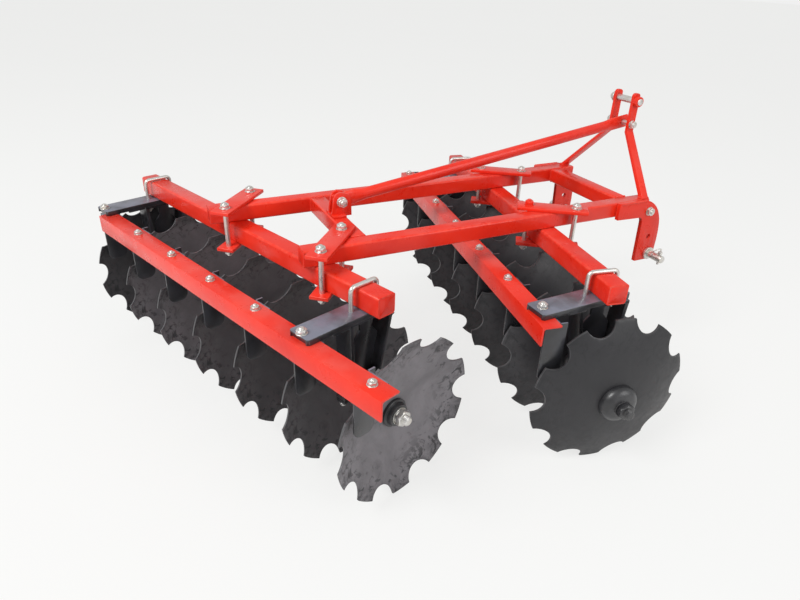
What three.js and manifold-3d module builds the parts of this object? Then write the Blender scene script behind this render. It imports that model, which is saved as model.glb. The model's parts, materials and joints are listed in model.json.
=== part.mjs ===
// Offset disc harrow for a three-point linkage: fourteen notched discs in two gangs.
// Millimetres; +X forward (towards the tractor), +Y left, +Z up, discs standing on the ground.
import * as THREE from 'three';
import { mergeVertices } from 'three/addons/utils/BufferGeometryUtils.js';
import Module from 'manifold-3d';

const wasm = await Module();
wasm.setup();
const { Manifold, Mesh: SolidMesh } = wasm;

// ---------- driving dimensions ----------
const FIT_GAP = 0.3;             // air left between pieces that touch
const HOLE_GAP = 0.8;            // radial room round a bolt or pin in its hole
const LAP = 1;                   // shapes of one piece run this far into each other

const DISC_RADIUS = 255;         // 510 mm discs
const DISC_THICKNESS = 5;
const DISH_RADIUS = 600;         // radius of the sphere the disc is dished to
const DISC_COUNT = 7;            // per gang
const DISC_SPACING = 238;
const NOTCH_COUNT = 10;
const NOTCH_DEPTH = 37;
const TOOTH_SHARE = 0.42;        // share of the rim left as tooth
const NOTCH_SHOULDER = 0.62;     // share of the notch's depth at its rounded shoulders
const DISH_SIDES = 20;           // facets round the dish
const TOOTH_TURN = 2;            // degrees, lowest tooth behind the axle

const SHAFT_SIDE = 30;           // square gang shaft
const SPOOL_FLANGE_RADIUS = 46;
const SPOOL_BODY_RADIUS = 31;
const SPOOL_FLANGE_WIDTH = 14;
const SPOOL_SIDES = 12;
const DOME_RADIUS = 60;          // bumper washer on the outward-bulging side
const DOME_HEIGHT = 30;
const CLAMP_WASHER_RADIUS = 44;  // washer on the hollow side
const CLAMP_WASHER_HEIGHT = 26;
const SHAFT_NUT_ACROSS = 46;
const SHAFT_NUT_HEIGHT = 24;
const SHAFT_TAIL = 16;           // shaft left past its nut

const GANG_ANGLE_REAR = 20;      // degrees, right end leading
const GANG_ANGLE_FRONT = 10;     // degrees, right end trailing
const REAR_RIM_X = -481;         // rim plane of the rear gang's right-hand disc, on its axle
const REAR_RIM_Y = -588;
const FRONT_RIM_X = 145;         // same for the front gang
const FRONT_RIM_Y = -699;

const BEAM_SIDE = 64;            // square gang beam
const BEAM_CORNER = 8;
const BEAM_OVER_DISC = 27;       // beam's underside above the discs
const BEAM_TOP = 2 * DISC_RADIUS + BEAM_OVER_DISC + BEAM_SIDE;
const BEAM_LENGTH = 1353;
const REAR_BEAM_START = 114;     // from the right-hand rim plane to the beam's right end
const FRONT_BEAM_START = 34;
const REAR_BEAM_LEAD = 22;       // beam centre ahead of the axle
const FRONT_BEAM_LEAD = -9;

const RAIL_SIDE = 54;            // fore-and-aft square rails
const RAIL_CORNER = 7;
const RAIL_HALF_SPACING = 214;   // rail centres either side of the middle
const RIGHT_RAIL_REAR = -655;
const LEFT_RAIL_REAR = -836;
const RAIL_FRONT = 668;
const CROSS_REAR_START = -493;   // rear face of the rear cross tube
const CROSS_FRONT_START = 550;   // rear face of the front cross tube

const PLATE_THICKNESS = 15;      // lower hitch plates
const HITCH_PIN_RADIUS = 14;
const HITCH_PIN_X = 706;
const HITCH_PIN_Z = BEAM_TOP - 163;
const HITCH_PIN_REACH = 75;      // pin standing out from the plate
const PIN_COLLAR_RADIUS = 24;
const PIN_COLLAR_WIDTH = 10;
const LINCH_HOLE_RADIUS = 5;
const LINCH_HOLE_FROM_END = 16;
const SPARE_HOLE = { x: 690, z: BEAM_TOP - 94, radius: 10 };

const MAST_LEG_WIDTH = 30;
const MAST_LEG_THICKNESS = 12;
const MAST_FOOT_SPREAD = 1.6;    // width of the sloping foot over its thickness
const MAST_FOOT_X = 650;
const MAST_FOOT_OUT = 12;        // feet outside the rail centres
const MAST_LEAN = 0.24;          // forward run per unit of height, up to the neck
const MAST_GAP = 78;             // between the two ears
const MAST_NECK_Z = BEAM_TOP + 249; // ears stand upright from here
const MAST_TOP_Z = BEAM_TOP + 391;
const MAST_PIN_Z = BEAM_TOP + 363;
const MAST_PIN_RADIUS = 12;
const MAST_PIN_REACH = 22;       // pin standing out past each ear
const MAST_PIN_HEAD_RADIUS = 19;
const MAST_PIN_HEAD_WIDTH = 10;

const BRACE_RADIUS = 18;
const BRACE_TONGUE = 18;         // thickness of its flattened ends
const TONGUE_LENGTH = 70;        // from the bolt to the round pipe
const TONGUE_HALF_HEIGHT = 24;
const TONGUE_LAP = 10;           // tongue inside the pipe
const BRACE_REAR_X = -454;
const BRACE_REAR_Z = BEAM_TOP + 103;
const BRACE_FRONT_Z = BEAM_TOP + 279;
const BRACE_BOLT_RADIUS = 9;
const BRACE_BOLT_ACROSS = 28;
const BRACE_HEAD_HEIGHT = 12;
const BRACE_NUT_HEIGHT = 14;
const BRACE_BOLT_TAIL = 20;      // shank past each face it clamps
const LUG_THICKNESS = 10;
const LUG_FOOT_HEIGHT = 8;
const LUG_FOOT_SPREAD = 16;      // foot plate past each ear
const LUG_INSET = 4;             // foot plate inside the cross tube's faces

const STRAP_WIDTH = 66;          // clamp straps at each rail and beam crossing
const STRAP_THICKNESS = 12;
const STRAP_OVERHANG = 40;       // strap past each bolt
const CLAMP_BOLT_RADIUS = 8;
const CLAMP_NUT_ACROSS = 27;
const CLAMP_NUT_HEIGHT = 13;
const CLAMP_BOLT_UP = 20;        // bolt above the upper strap
const CLAMP_BOLT_DOWN = 24;      // bolt below the lower strap
const LOWER_STRAP_SHORTER = 12;  // at each end
const LOWER_STRAP_NARROWER = 4;  // at each edge
const CLAMP_AHEAD = {            // each clamp ahead of its crossing
  front: { right: 20, left: 20 },
  rear: { right: 33, left: 13 },
};
const REAR_CLAMP_HALF = BEAM_SIDE / 2 + 56;  // bolt to crossing
const REAR_CLAMP_TURN = 50;      // degrees from forward
const FRONT_CLAMP_HALF = BEAM_SIDE / 2 + 48;
const FRONT_CLAMP_TURN = -35;

const BAR_SIDE = 60;             // scraper bar angle iron
const BAR_THICKNESS = 6;
const BAR_FROM_BEAM = 253;       // beam centre to the bar's outer face
const FRONT_BAR_LENGTH = 1433;
const REAR_BAR_LENGTH = 1505;
const BAR_SPARE = 61;            // bar past its right-hand scraper bolt
const BAR_BOLT_EDGE = 30;        // least bar past its left-hand scraper bolt
const FRONT_SCRAPER_BOLT = 48;   // bolt from the disc's rim plane, on the hollow side
const REAR_SCRAPER_BOLT = 66;
const SCRAPER_GAP = 8;           // blade to the rim plane
const SCRAPER_THICKNESS = 6;
const SCRAPER_WIDTH = 70;
const SCRAPER_DROP = 195;
const SCRAPER_AHEAD = 15;        // blade's rear edge from the bar's web
const SCRAPER_TAB_SPARE = 20;    // tab past its bolt
const SCRAPER_LIP = 20;          // rounding of the blade's lower corners
const BOLT_HEAD_HEIGHT = 10;
const BRACKET_BOLT_ACROSS = 26;

const ARM_WIDTH = 80;            // bracket arm from beam to scraper bar
const ARM_THICKNESS = 18;
const ARM_LIP_DEPTH = 6;         // turned-down edges of the arm
const ARM_LIP_THICKNESS = 8;
const ARM_LIP_CLEAR = 10;        // lips from the scraper blades
const ARM_LIP_SHORT = 4;         // lips from the hanger
const HANGER_SPREAD = BEAM_SIDE / 2 + 52;  // hanger legs from the beam centre, at their top
const ARM_FRONT_REACH = HANGER_SPREAD;     // arm ahead of the beam centre
const REAR_HANGER_FROM_HUB = 142.116;  // along the gang from the right-hand disc's hub
const FRONT_HANGER_FROM_HUB = 168.884;
const REAR_ARM_TAIL = 18;        // arm's tail from the bar's outer face
const FRONT_ARM_TAIL = 3;
const REAR_ARM_TURN = 0;         // degrees, tail towards the right end
const FRONT_ARM_TURN = 12;
const HANGER_STEP = 1190;        // between the two hangers of a gang
const HANGER_PLATE = 12;
const HANGER_WIDTH = 64;
const BEARING_RADIUS = 52;
const BEARING_INSET = 8;         // block inside the hanger's edges
const BEARING_RUNNING_GAP = 1;
const UBOLT_RADIUS = 7;
const UBOLT_STAND_OFF = 9;       // leg from the beam's side
const UBOLT_BACK = 6;            // U-bolt's middle behind the beam's
const UBOLT_BEND = 14;
const UBOLT_TAIL = 22;           // leg below the hanger's top plate
const UBOLT_NUT_ACROSS = 24;
const UBOLT_NUT_HEIGHT = 11;

// ---------- sizes worked out from those above ----------
const AXLE_HEIGHT = DISC_RADIUS;
const dishDepth = (radius) => DISH_RADIUS - Math.sqrt(DISH_RADIUS ** 2 - radius ** 2);
const DISC_DEPTH = dishDepth(DISC_RADIUS);
const REAR_HANGER_AT = REAR_HANGER_FROM_HUB + DISC_DEPTH;
const FRONT_HANGER_AT = FRONT_HANGER_FROM_HUB - DISC_DEPTH;
// inside the spool flange the disc is a shallow cone
const coneDepth = (radius) => (dishDepth(SPOOL_FLANGE_RADIUS) * radius) / SPOOL_FLANGE_RADIUS;
const BEAM_BOTTOM = BEAM_TOP - BEAM_SIDE;
const RAIL_BOTTOM = BEAM_TOP + FIT_GAP;
const RAIL_TOP = RAIL_BOTTOM + RAIL_SIDE;
const ARM_TOP = BEAM_BOTTOM - FIT_GAP;
const ARM_BOTTOM = ARM_TOP - ARM_THICKNESS;
const BAR_TOP = ARM_BOTTOM - FIT_GAP;
const HANGER_TOP = ARM_BOTTOM - FIT_GAP;

// ---------- solids ----------
function solid(geometry) {
  const bare = new THREE.BufferGeometry();
  bare.setAttribute('position', geometry.getAttribute('position').clone());
  if (geometry.index) bare.setIndex(geometry.index.clone());
  const merged = mergeVertices(bare, 1e-4);
  const corners = merged.index.array;
  const kept = [];
  for (let i = 0; i < corners.length; i += 3) {
    const [a, b, c] = [corners[i], corners[i + 1], corners[i + 2]];
    if (a !== b && b !== c && a !== c) kept.push(a, b, c);
  }
  return new Manifold(new SolidMesh({
    numProp: 3,
    vertProperties: new Float32Array(merged.getAttribute('position').array),
    triVerts: new Uint32Array(kept),
  }));
}

const join = (...parts) => parts.reduce((whole, part) => whole.add(part));
const cut = (whole, ...parts) => parts.reduce((rest, part) => rest.subtract(part), whole);

function box(x0, x1, y0, y1, z0, z1) {
  const geometry = new THREE.BoxGeometry(x1 - x0, y1 - y0, z1 - z0);
  geometry.translate((x0 + x1) / 2, (y0 + y1) / 2, (z0 + z1) / 2);
  return solid(geometry);
}

// upright round bar
function post(x, y, z0, z1, radius, sides = 8) {
  const geometry = new THREE.CylinderGeometry(radius, radius, z1 - z0, sides);
  geometry.rotateX(Math.PI / 2);
  geometry.translate(x, y, (z0 + z1) / 2);
  return solid(geometry);
}

// round bar lying along Y
function pinAlongY(x, z, y0, y1, radius, sides = 12) {
  const geometry = new THREE.CylinderGeometry(radius, radius, y1 - y0, sides);
  geometry.translate(x, (y0 + y1) / 2, z);
  return solid(geometry);
}

const hexNut = (x, y, z0, z1, across) => post(x, y, z0, z1, across / Math.sqrt(3), 6);
const hexNutAlongY = (x, z, y0, y1, across) => pinAlongY(x, z, y0, y1, across / Math.sqrt(3), 6);

function shapeOf(points) {
  const shape = new THREE.Shape();
  points.forEach(([x, y], i) => (i ? shape.lineTo(x, y) : shape.moveTo(x, y)));
  shape.closePath();
  return shape;
}

function extruded(shape, depth) {
  return new THREE.ExtrudeGeometry(shape, { depth, bevelEnabled: false, curveSegments: 4 });
}

// plate drawn in X and Z, lying between two values of Y
function plateXZ(points, y0, y1) {
  const geometry = extruded(shapeOf(points), y1 - y0);
  geometry.rotateX(Math.PI / 2);
  geometry.translate(0, y1, 0);
  return solid(geometry);
}

// square tube outline with rounded corners, centred on zero
function tubeShape(side, corner) {
  const h = side / 2;
  const shape = new THREE.Shape();
  shape.moveTo(-h + corner, -h);
  shape.lineTo(h - corner, -h);
  shape.absarc(h - corner, -h + corner, corner, -Math.PI / 2, 0);
  shape.lineTo(h, h - corner);
  shape.absarc(h - corner, h - corner, corner, 0, Math.PI / 2);
  shape.lineTo(-h + corner, h);
  shape.absarc(-h + corner, h - corner, corner, Math.PI / 2, Math.PI);
  shape.lineTo(-h, -h + corner);
  shape.absarc(-h + corner, -h + corner, corner, Math.PI, 1.5 * Math.PI);
  return shape;
}

// capped square tube along X
function tubeAlongX(x0, x1, y, z, side, corner) {
  const geometry = extruded(tubeShape(side, corner), x1 - x0);
  geometry.rotateY(Math.PI / 2);
  geometry.translate(x0, y, z);
  return solid(geometry);
}

// capped square tube along Y
function tubeAlongY(y0, y1, x, z, side, corner) {
  const geometry = extruded(tubeShape(side, corner), y1 - y0);
  geometry.rotateX(-Math.PI / 2);
  geometry.translate(x, y0, z);
  return solid(geometry);
}

// solid of revolution about the Y axis from a closed list of [radius, y]
function turned(profile, sides) {
  const points = [...profile, profile[0]].map(([radius, y]) => new THREE.Vector2(radius, y));
  const geometry = new THREE.LatheGeometry(points, sides);
  const made = solid(geometry);
  return made.volume() < 0 ? solid(flipped(geometry)) : made;
}

function flipped(geometry) {
  const turnedOver = geometry.clone();
  const corners = turnedOver.index.array;
  for (let i = 0; i < corners.length; i += 3) {
    [corners[i], corners[i + 1]] = [corners[i + 1], corners[i]];
  }
  return turnedOver;
}

// ---------- materials and the group ----------
const paint = (name, colour, metalness, roughness) =>
  new THREE.MeshStandardMaterial({ name, color: colour, metalness, roughness });
const RED = ['red_paint', 0xc8281e, 0.1, 0.45];
const BLACK = ['black_paint', 0x1c1c1e, 0.3, 0.5];
const ZINC = ['zinc_plate', 0xc9c6bd, 0.9, 0.35];

const group = new THREE.Group();
group.name = 'disc_harrow';

function piece(name, whole, finish, placing = new THREE.Matrix4()) {
  const { numProp, vertProperties, triVerts } = whole.getMesh();
  const positions = new Float32Array((vertProperties.length / numProp) * 3);
  for (let i = 0; i < positions.length / 3; i += 1) {
    positions.set(vertProperties.subarray(i * numProp, i * numProp + 3), i * 3);
  }
  const geometry = new THREE.BufferGeometry();
  geometry.setAttribute('position', new THREE.BufferAttribute(positions, 3));
  geometry.setIndex(new THREE.BufferAttribute(new Uint32Array(triVerts), 1));
  geometry.applyMatrix4(placing);
  geometry.computeVertexNormals();
  const mesh = new THREE.Mesh(geometry, paint(...finish));
  mesh.name = name;
  group.add(mesh);
}

// ---------- discs ----------
function notchedOutline(turn) {
  const step = (2 * Math.PI) / NOTCH_COUNT;
  const tooth = (step * TOOTH_SHARE) / 2;
  const notch = (step * (1 - TOOTH_SHARE)) / 2;
  const floor = DISC_RADIUS - NOTCH_DEPTH;
  const shoulder = DISC_RADIUS - NOTCH_SHOULDER * NOTCH_DEPTH;
  const points = [];
  const mark = (angle, radius) => points.push([radius * Math.sin(angle), -radius * Math.cos(angle)]);
  for (let i = 0; i < NOTCH_COUNT; i += 1) {
    const middle = i * step + THREE.MathUtils.degToRad(turn);
    mark(middle - tooth, DISC_RADIUS);
    mark(middle, DISC_RADIUS);
    mark(middle + tooth, DISC_RADIUS);
    const gap = middle + step / 2;
    mark(gap - 0.86 * notch, shoulder);
    mark(gap - 0.4 * notch, floor);
    mark(gap + 0.4 * notch, floor);
    mark(gap + 0.86 * notch, shoulder);
  }
  return points;
}

// one disc, hollow side towards +Y, its hollow face touching y = 0 at the middle
function disc(turn) {
  const rings = [0, SPOOL_FLANGE_RADIUS, 0.48 * DISC_RADIUS, 0.75 * DISC_RADIUS, 1.03 * DISC_RADIUS];
  const hollow = rings.map((radius) => [radius, dishDepth(radius)]);
  const bulge = rings.map((radius) => [radius, dishDepth(radius) - DISC_THICKNESS]);
  const dish = turned([...bulge, ...hollow.reverse()], DISH_SIDES);
  const outline = extruded(shapeOf(notchedOutline(turn)), 4 * DISC_DEPTH);
  outline.rotateX(-Math.PI / 2);
  outline.translate(0, -2 * DISC_DEPTH, 0);
  const hole = SHAFT_SIDE / 2 + FIT_GAP;
  const opening = box(-hole, hole, -DISC_DEPTH, DISC_DEPTH, -hole, hole);
  return cut(dish.intersect(solid(outline)), opening);
}

// ---------- a gang ----------
// Built with its axle on Y, the right-hand rim plane at y = 0 and +X ahead.
// hollow = +1 when the hollow sides face left (+Y), -1 when they face right.
function gang(name, hollow, placing) {
  const oneDisc = disc(hollow * TOOTH_TURN);
  const faced = hollow > 0 ? oneDisc : oneDisc.rotate([0, 0, 180]);
  const hubs = [];
  for (let n = 0; n < DISC_COUNT; n += 1) {
    const hub = n * DISC_SPACING - hollow * DISC_DEPTH;
    hubs.push(hub);
    piece(`${name}_disc_${n + 1}`, faced.translate([0, hub, AXLE_HEIGHT]), BLACK, placing);
  }
  const half = SHAFT_SIDE / 2;
  const first = hubs[0];
  const last = hubs[DISC_COUNT - 1];
  // measured outward from the outer discs' middles
  const domeEnd = DISC_THICKNESS + DOME_HEIGHT + SHAFT_NUT_HEIGHT + SHAFT_TAIL;
  const washerEnd = CLAMP_WASHER_HEIGHT + SHAFT_NUT_HEIGHT + SHAFT_TAIL;
  const rightEnd = first - (hollow > 0 ? domeEnd : washerEnd);
  const leftEnd = last + (hollow > 0 ? washerEnd : domeEnd);
  let shaft = box(-half, half, rightEnd, leftEnd, -half, half);
  for (let n = 0; n + 1 < DISC_COUNT; n += 1) {
    shaft = shaft.add(spool(hubs[n], hubs[n + 1], hollow));
  }
  piece(`${name}_shaft_and_spools`, shaft.translate([0, 0, AXLE_HEIGHT]), BLACK, placing);
  const domeAt = hollow > 0 ? first : last;
  const washerAt = hollow > 0 ? last : first;
  const domeSide = hollow > 0 ? 'right' : 'left';
  const washerSide = hollow > 0 ? 'left' : 'right';
  piece(`${name}_dome_washer_${domeSide}`, domeWasher(domeAt, hollow), BLACK, placing);
  piece(`${name}_clamp_washer_${washerSide}`, clampWasher(washerAt, hollow), BLACK, placing);
}

// spool between two neighbouring discs, its ends coned to lie on the dished faces
function spool(y0, y1, hollow) {
  const inner = SHAFT_SIDE / 2;
  const flange = SPOOL_FLANGE_RADIUS;
  const lean = (radius) => hollow * coneDepth(radius);
  const before = hollow > 0 ? 0 : DISC_THICKNESS;
  const after = hollow > 0 ? DISC_THICKNESS : 0;
  const from = (radius) => y0 + before + lean(radius) + FIT_GAP;
  const to = (radius) => y1 - after + lean(radius) - FIT_GAP;
  return turned([
    [0, from(inner)],
    [inner, from(inner)],
    [flange, from(flange)],
    [flange, from(flange) + SPOOL_FLANGE_WIDTH],
    [SPOOL_BODY_RADIUS, from(flange) + 2 * SPOOL_FLANGE_WIDTH],
    [SPOOL_BODY_RADIUS, to(flange) - 2 * SPOOL_FLANGE_WIDTH],
    [flange, to(flange) - SPOOL_FLANGE_WIDTH],
    [flange, to(flange)],
    [inner, to(inner)],
    [0, to(inner)],
  ], SPOOL_SIDES);
}

// square opening for the shaft through a washer standing between two values of y
function shaftOpening(y0, y1) {
  const hole = SHAFT_SIDE / 2 + FIT_GAP;
  return box(-hole, hole, y0, y1, -hole, hole);
}

// domed washer with its nut, on the bulging side of an outer disc
function domeWasher(hub, hollow) {
  const out = -hollow;
  const face = (radius) => hub + out * (DISC_THICKNESS + FIT_GAP - dishDepth(radius));
  const top = hub + out * (DISC_THICKNESS + DOME_HEIGHT);
  const at = (share) => face(DOME_RADIUS) + share * (top - face(DOME_RADIUS));
  const dome = turned([
    [0, face(0)],
    [SPOOL_FLANGE_RADIUS, face(SPOOL_FLANGE_RADIUS)],
    [DOME_RADIUS, face(DOME_RADIUS)],
    [DOME_RADIUS, at(0.2)],
    [0.86 * DOME_RADIUS, at(0.62)],
    [0.62 * DOME_RADIUS, at(0.9)],
    [0.42 * DOME_RADIUS, top],
    [0, top],
  ], 24);
  return fitted(dome, top, out, hub);
}

// clamp washer with its nut, on the hollow side of an outer disc
function clampWasher(hub, hollow) {
  const out = hollow;
  const face = (radius) => hub + out * (coneDepth(radius) + FIT_GAP);
  const top = hub + out * CLAMP_WASHER_HEIGHT;
  const washer = turned([
    [0, face(0)],
    [CLAMP_WASHER_RADIUS, face(CLAMP_WASHER_RADIUS)],
    [CLAMP_WASHER_RADIUS, hub + out * 0.45 * CLAMP_WASHER_HEIGHT],
    [0.74 * CLAMP_WASHER_RADIUS, top],
    [0, top],
  ], 24);
  return fitted(washer, top, out, hub);
}

function fitted(washer, top, out, hub) {
  const end = top + out * SHAFT_NUT_HEIGHT;
  const nut = hexNutAlongY(0, 0, Math.min(top, end), Math.max(top, end), SHAFT_NUT_ACROSS);
  const far = end + out * SHAFT_TAIL;
  const opening = shaftOpening(Math.min(hub, far) - DISC_DEPTH, Math.max(hub, far) + DISC_DEPTH);
  return cut(washer.add(nut), opening).translate([0, 0, AXLE_HEIGHT]);
}

// ---------- gang beam, scraper bar, hangers and brackets ----------
function gangFrame(name, hollow, placing, start, lead, hangerAt, boltOffset, barLength, arm) {
  const beam = tubeAlongY(start, start + BEAM_LENGTH, lead, BEAM_TOP - BEAM_SIDE / 2,
    BEAM_SIDE, BEAM_CORNER);
  piece(`${name}_gang_beam`, beam, RED, placing);
  const outer = lead - BAR_FROM_BEAM;
  const barStart = hollow * boltOffset - BAR_SPARE;
  const bar = scraperBar(outer, barStart, barStart + barLength, hollow, boltOffset);
  piece(`${name}_scraper_bar`, bar, RED, placing);
  [['right', hangerAt], ['left', hangerAt + HANGER_STEP]].forEach(([side, at]) => {
    piece(`${name}_bracket_arm_${side}`, bracketArm(lead, at, outer, arm), BLACK, placing);
    piece(`${name}_bearing_hanger_${side}`, bearingHanger(lead, at), BLACK, placing);
    piece(`${name}_u_bolt_${side}`, uBolt(lead, at), ZINC, placing);
  });
}

const U_LEG = BEAM_SIDE / 2 + UBOLT_RADIUS + UBOLT_STAND_OFF;
const uLegs = (lead) => [-U_LEG, U_LEG].map((x) => lead - UBOLT_BACK + x);

// angle iron with a scraper for each disc
function scraperBar(outer, barStart, barEnd, hollow, boltOffset) {
  const flange = box(outer, outer + BAR_SIDE, barStart, barEnd, BAR_TOP - BAR_THICKNESS, BAR_TOP);
  const web = box(outer, outer + BAR_THICKNESS, barStart, barEnd, BAR_TOP - BAR_SIDE, BAR_TOP);
  const underside = BAR_TOP - BAR_THICKNESS;
  const scrapers = [];
  for (let n = 0; n < DISC_COUNT; n += 1) {
    const rim = n * DISC_SPACING;
    const bolt = Math.min(rim + hollow * boltOffset, barEnd - BAR_BOLT_EDGE);
    const near = rim + hollow * SCRAPER_GAP;
    const far = near + hollow * SCRAPER_THICKNESS;
    const x0 = outer + BAR_THICKNESS + SCRAPER_AHEAD;
    const x1 = x0 + SCRAPER_WIDTH;
    const foot = underside - SCRAPER_DROP;
    const bevel = 0.3 * SCRAPER_LIP;
    const outline = [[x0, underside], [x0, foot + SCRAPER_LIP], [x0 + bevel, foot + bevel],
      [x0 + SCRAPER_LIP, foot], [x1 - SCRAPER_LIP, foot], [x1 - bevel, foot + bevel],
      [x1, foot + SCRAPER_LIP], [x1, underside]];
    const tabStart = Math.min(near, far, bolt - SCRAPER_TAB_SPARE);
    const tabEnd = Math.max(near, far, bolt + SCRAPER_TAB_SPARE);
    scrapers.push(plateXZ(outline.reverse(), Math.min(near, far), Math.max(near, far)));
    scrapers.push(box(x0, x1, tabStart, tabEnd, underside - SCRAPER_THICKNESS, underside + LAP));
  }
  return join(flange, web, ...scrapers);
}

// flat arm clamped under the beam, its tail lying on the scraper bar
function bracketArm(lead, at, outer, { tail, turn }) {
  const x0 = outer + tail - lead;
  const plate = box(x0, ARM_FRONT_REACH, -ARM_WIDTH / 2, ARM_WIDTH / 2, ARM_BOTTOM, ARM_TOP);
  const boltX = outer + BAR_SIDE / 2 - lead;
  const head = hexNut(boltX, 0, ARM_TOP - LAP, ARM_TOP + BOLT_HEAD_HEIGHT, BRACKET_BOLT_ACROSS);
  const lipStart = -BAR_FROM_BEAM + BAR_THICKNESS + SCRAPER_AHEAD + SCRAPER_WIDTH + ARM_LIP_CLEAR;
  const lipEnd = -HANGER_SPREAD - ARM_LIP_SHORT;
  const inside = ARM_WIDTH / 2 - ARM_LIP_THICKNESS;
  const lips = [-ARM_WIDTH / 2, inside].map((y) => box(lipStart, lipEnd, y, y + ARM_LIP_THICKNESS,
    ARM_BOTTOM - ARM_LIP_DEPTH, ARM_TOP));
  const turned = join(plate, head, ...lips).rotate([0, 0, turn]).translate([lead, at, 0]);
  return cut(turned, ...uBoltHoles(lead, at));
}

function uBoltHoles(lead, at) {
  const radius = UBOLT_RADIUS + HOLE_GAP;
  return uLegs(lead).map((x) => post(x, at, HANGER_TOP - 60, ARM_TOP + 40, radius, 12));
}

// top plate, two flat legs and a bearing block round the spool
function bearingHanger(lead, at) {
  const y0 = at - HANGER_WIDTH / 2;
  const y1 = at + HANGER_WIDTH / 2;
  const top = box(lead - HANGER_SPREAD, lead + HANGER_SPREAD, y0, y1,
    HANGER_TOP - HANGER_PLATE, HANGER_TOP);
  const legs = [-1, 1].map((side) => {
    const outside = side * HANGER_SPREAD;
    const inside = side * (HANGER_SPREAD - HANGER_PLATE);
    const outline = [[lead + outside, HANGER_TOP], [side * BEARING_RADIUS, AXLE_HEIGHT],
      [side * (BEARING_RADIUS - HANGER_PLATE), AXLE_HEIGHT], [lead + inside, HANGER_TOP]];
    return plateXZ(side > 0 ? outline : outline.reverse(), y0, y1);
  });
  const block = pinAlongY(0, AXLE_HEIGHT, y0 + BEARING_INSET, y1 - BEARING_INSET, BEARING_RADIUS, 20);
  const bore = pinAlongY(0, AXLE_HEIGHT, y0 - LAP, y1 + LAP, SPOOL_BODY_RADIUS + BEARING_RUNNING_GAP, 20);
  return cut(join(top, ...legs, block), bore, ...uBoltHoles(lead, at));
}

// centre line of a bent bar, with one station at each of its points
class BentBar extends THREE.Curve {
  constructor(points) {
    super();
    this.points = points;
  }

  getPointAt(share, target = new THREE.Vector3()) {
    return target.copy(this.points[Math.round(share * (this.points.length - 1))]);
  }

  getTangentAt(share, target = new THREE.Vector3()) {
    const i = Math.round(share * (this.points.length - 1));
    const after = this.points[Math.min(i + 1, this.points.length - 1)];
    const before = this.points[Math.max(i - 1, 0)];
    return target.subVectors(after, before).normalize();
  }
}

// round bar bent over the beam, with a nut under each leg
function uBolt(lead, at) {
  const top = BEAM_TOP + FIT_GAP + UBOLT_RADIUS;
  const foot = HANGER_TOP - HANGER_PLATE - UBOLT_TAIL;
  const inset = UBOLT_BEND * (1 - Math.SQRT1_2);
  const half = [[U_LEG, foot], [U_LEG, top - UBOLT_BEND], [U_LEG - inset, top - inset],
    [U_LEG - UBOLT_BEND, top]];
  const points = [...half.map(([x, z]) => [-x, z]), ...half.reverse()];
  const middle = lead - UBOLT_BACK;
  const path = new BentBar(points.map(([x, z]) => new THREE.Vector3(middle + x, at, z)));
  const ring = new THREE.Shape();
  ring.absarc(0, 0, UBOLT_RADIUS, 0, 2 * Math.PI);
  const geometry = new THREE.ExtrudeGeometry(ring, {
    steps: points.length - 1, extrudePath: path, curveSegments: 5,
  });
  const nutTop = HANGER_TOP - HANGER_PLATE - FIT_GAP;
  const nuts = uLegs(lead).map((x) =>
    hexNut(x, at, nutTop - UBOLT_NUT_HEIGHT, nutTop, UBOLT_NUT_ACROSS));
  return join(solid(geometry), ...nuts);
}

// ---------- main frame ----------
function clamp(name, x, y, half, turn) {
  const angle = THREE.MathUtils.degToRad(turn);
  const reach = half + STRAP_OVERHANG;
  const top = RAIL_TOP + FIT_GAP;
  const bottom = BEAM_BOTTOM - FIT_GAP;
  const upper = box(-reach, reach, -STRAP_WIDTH / 2, STRAP_WIDTH / 2, top, top + STRAP_THICKNESS);
  const lowReach = reach - LOWER_STRAP_SHORTER;
  const lowHalf = STRAP_WIDTH / 2 - LOWER_STRAP_NARROWER;
  const lower = box(-lowReach, lowReach, -lowHalf, lowHalf, bottom - STRAP_THICKNESS, bottom);
  const above = top + STRAP_THICKNESS;
  const below = bottom - STRAP_THICKNESS;
  const bolts = [-half, half].map((at) => join(
    post(at, 0, below - CLAMP_BOLT_DOWN, above + CLAMP_BOLT_UP, CLAMP_BOLT_RADIUS),
    hexNut(at, 0, above - LAP, above + CLAMP_NUT_HEIGHT, CLAMP_NUT_ACROSS),
    hexNut(at, 0, below - CLAMP_NUT_HEIGHT, below + LAP, CLAMP_NUT_ACROSS)));
  const placing = new THREE.Matrix4().makeRotationZ(angle).setPosition(x, y, 0);
  piece(name, join(upper, lower, ...bolts), RED, placing);
}

function hitchPlate(side) {
  const inner = RAIL_HALF_SPACING + RAIL_SIDE / 2 + FIT_GAP;
  const outer = inner + PLATE_THICKNESS;
  const belowTop = [[514, 0], [514, 60.3], [627, 64.3], [639, 82.3], [647, 243.3], [735, 243.3],
    [737, 167.3], [731, 102.3], [719, 65.3], [696, 30.3], [664, 7.3], [640, 0]];
  const outline = belowTop.map(([x, depth]) => [x, RAIL_TOP - depth]);
  const plate = plateXZ(outline, side > 0 ? inner : -outer, side > 0 ? outer : -inner);
  const hole = (x, z, radius) => pinAlongY(x, z, -outer - 5, outer + 5, radius);
  return cut(plate, hole(HITCH_PIN_X, HITCH_PIN_Z, HITCH_PIN_RADIUS + HOLE_GAP),
    hole(SPARE_HOLE.x, SPARE_HOLE.z, SPARE_HOLE.radius));
}

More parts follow.
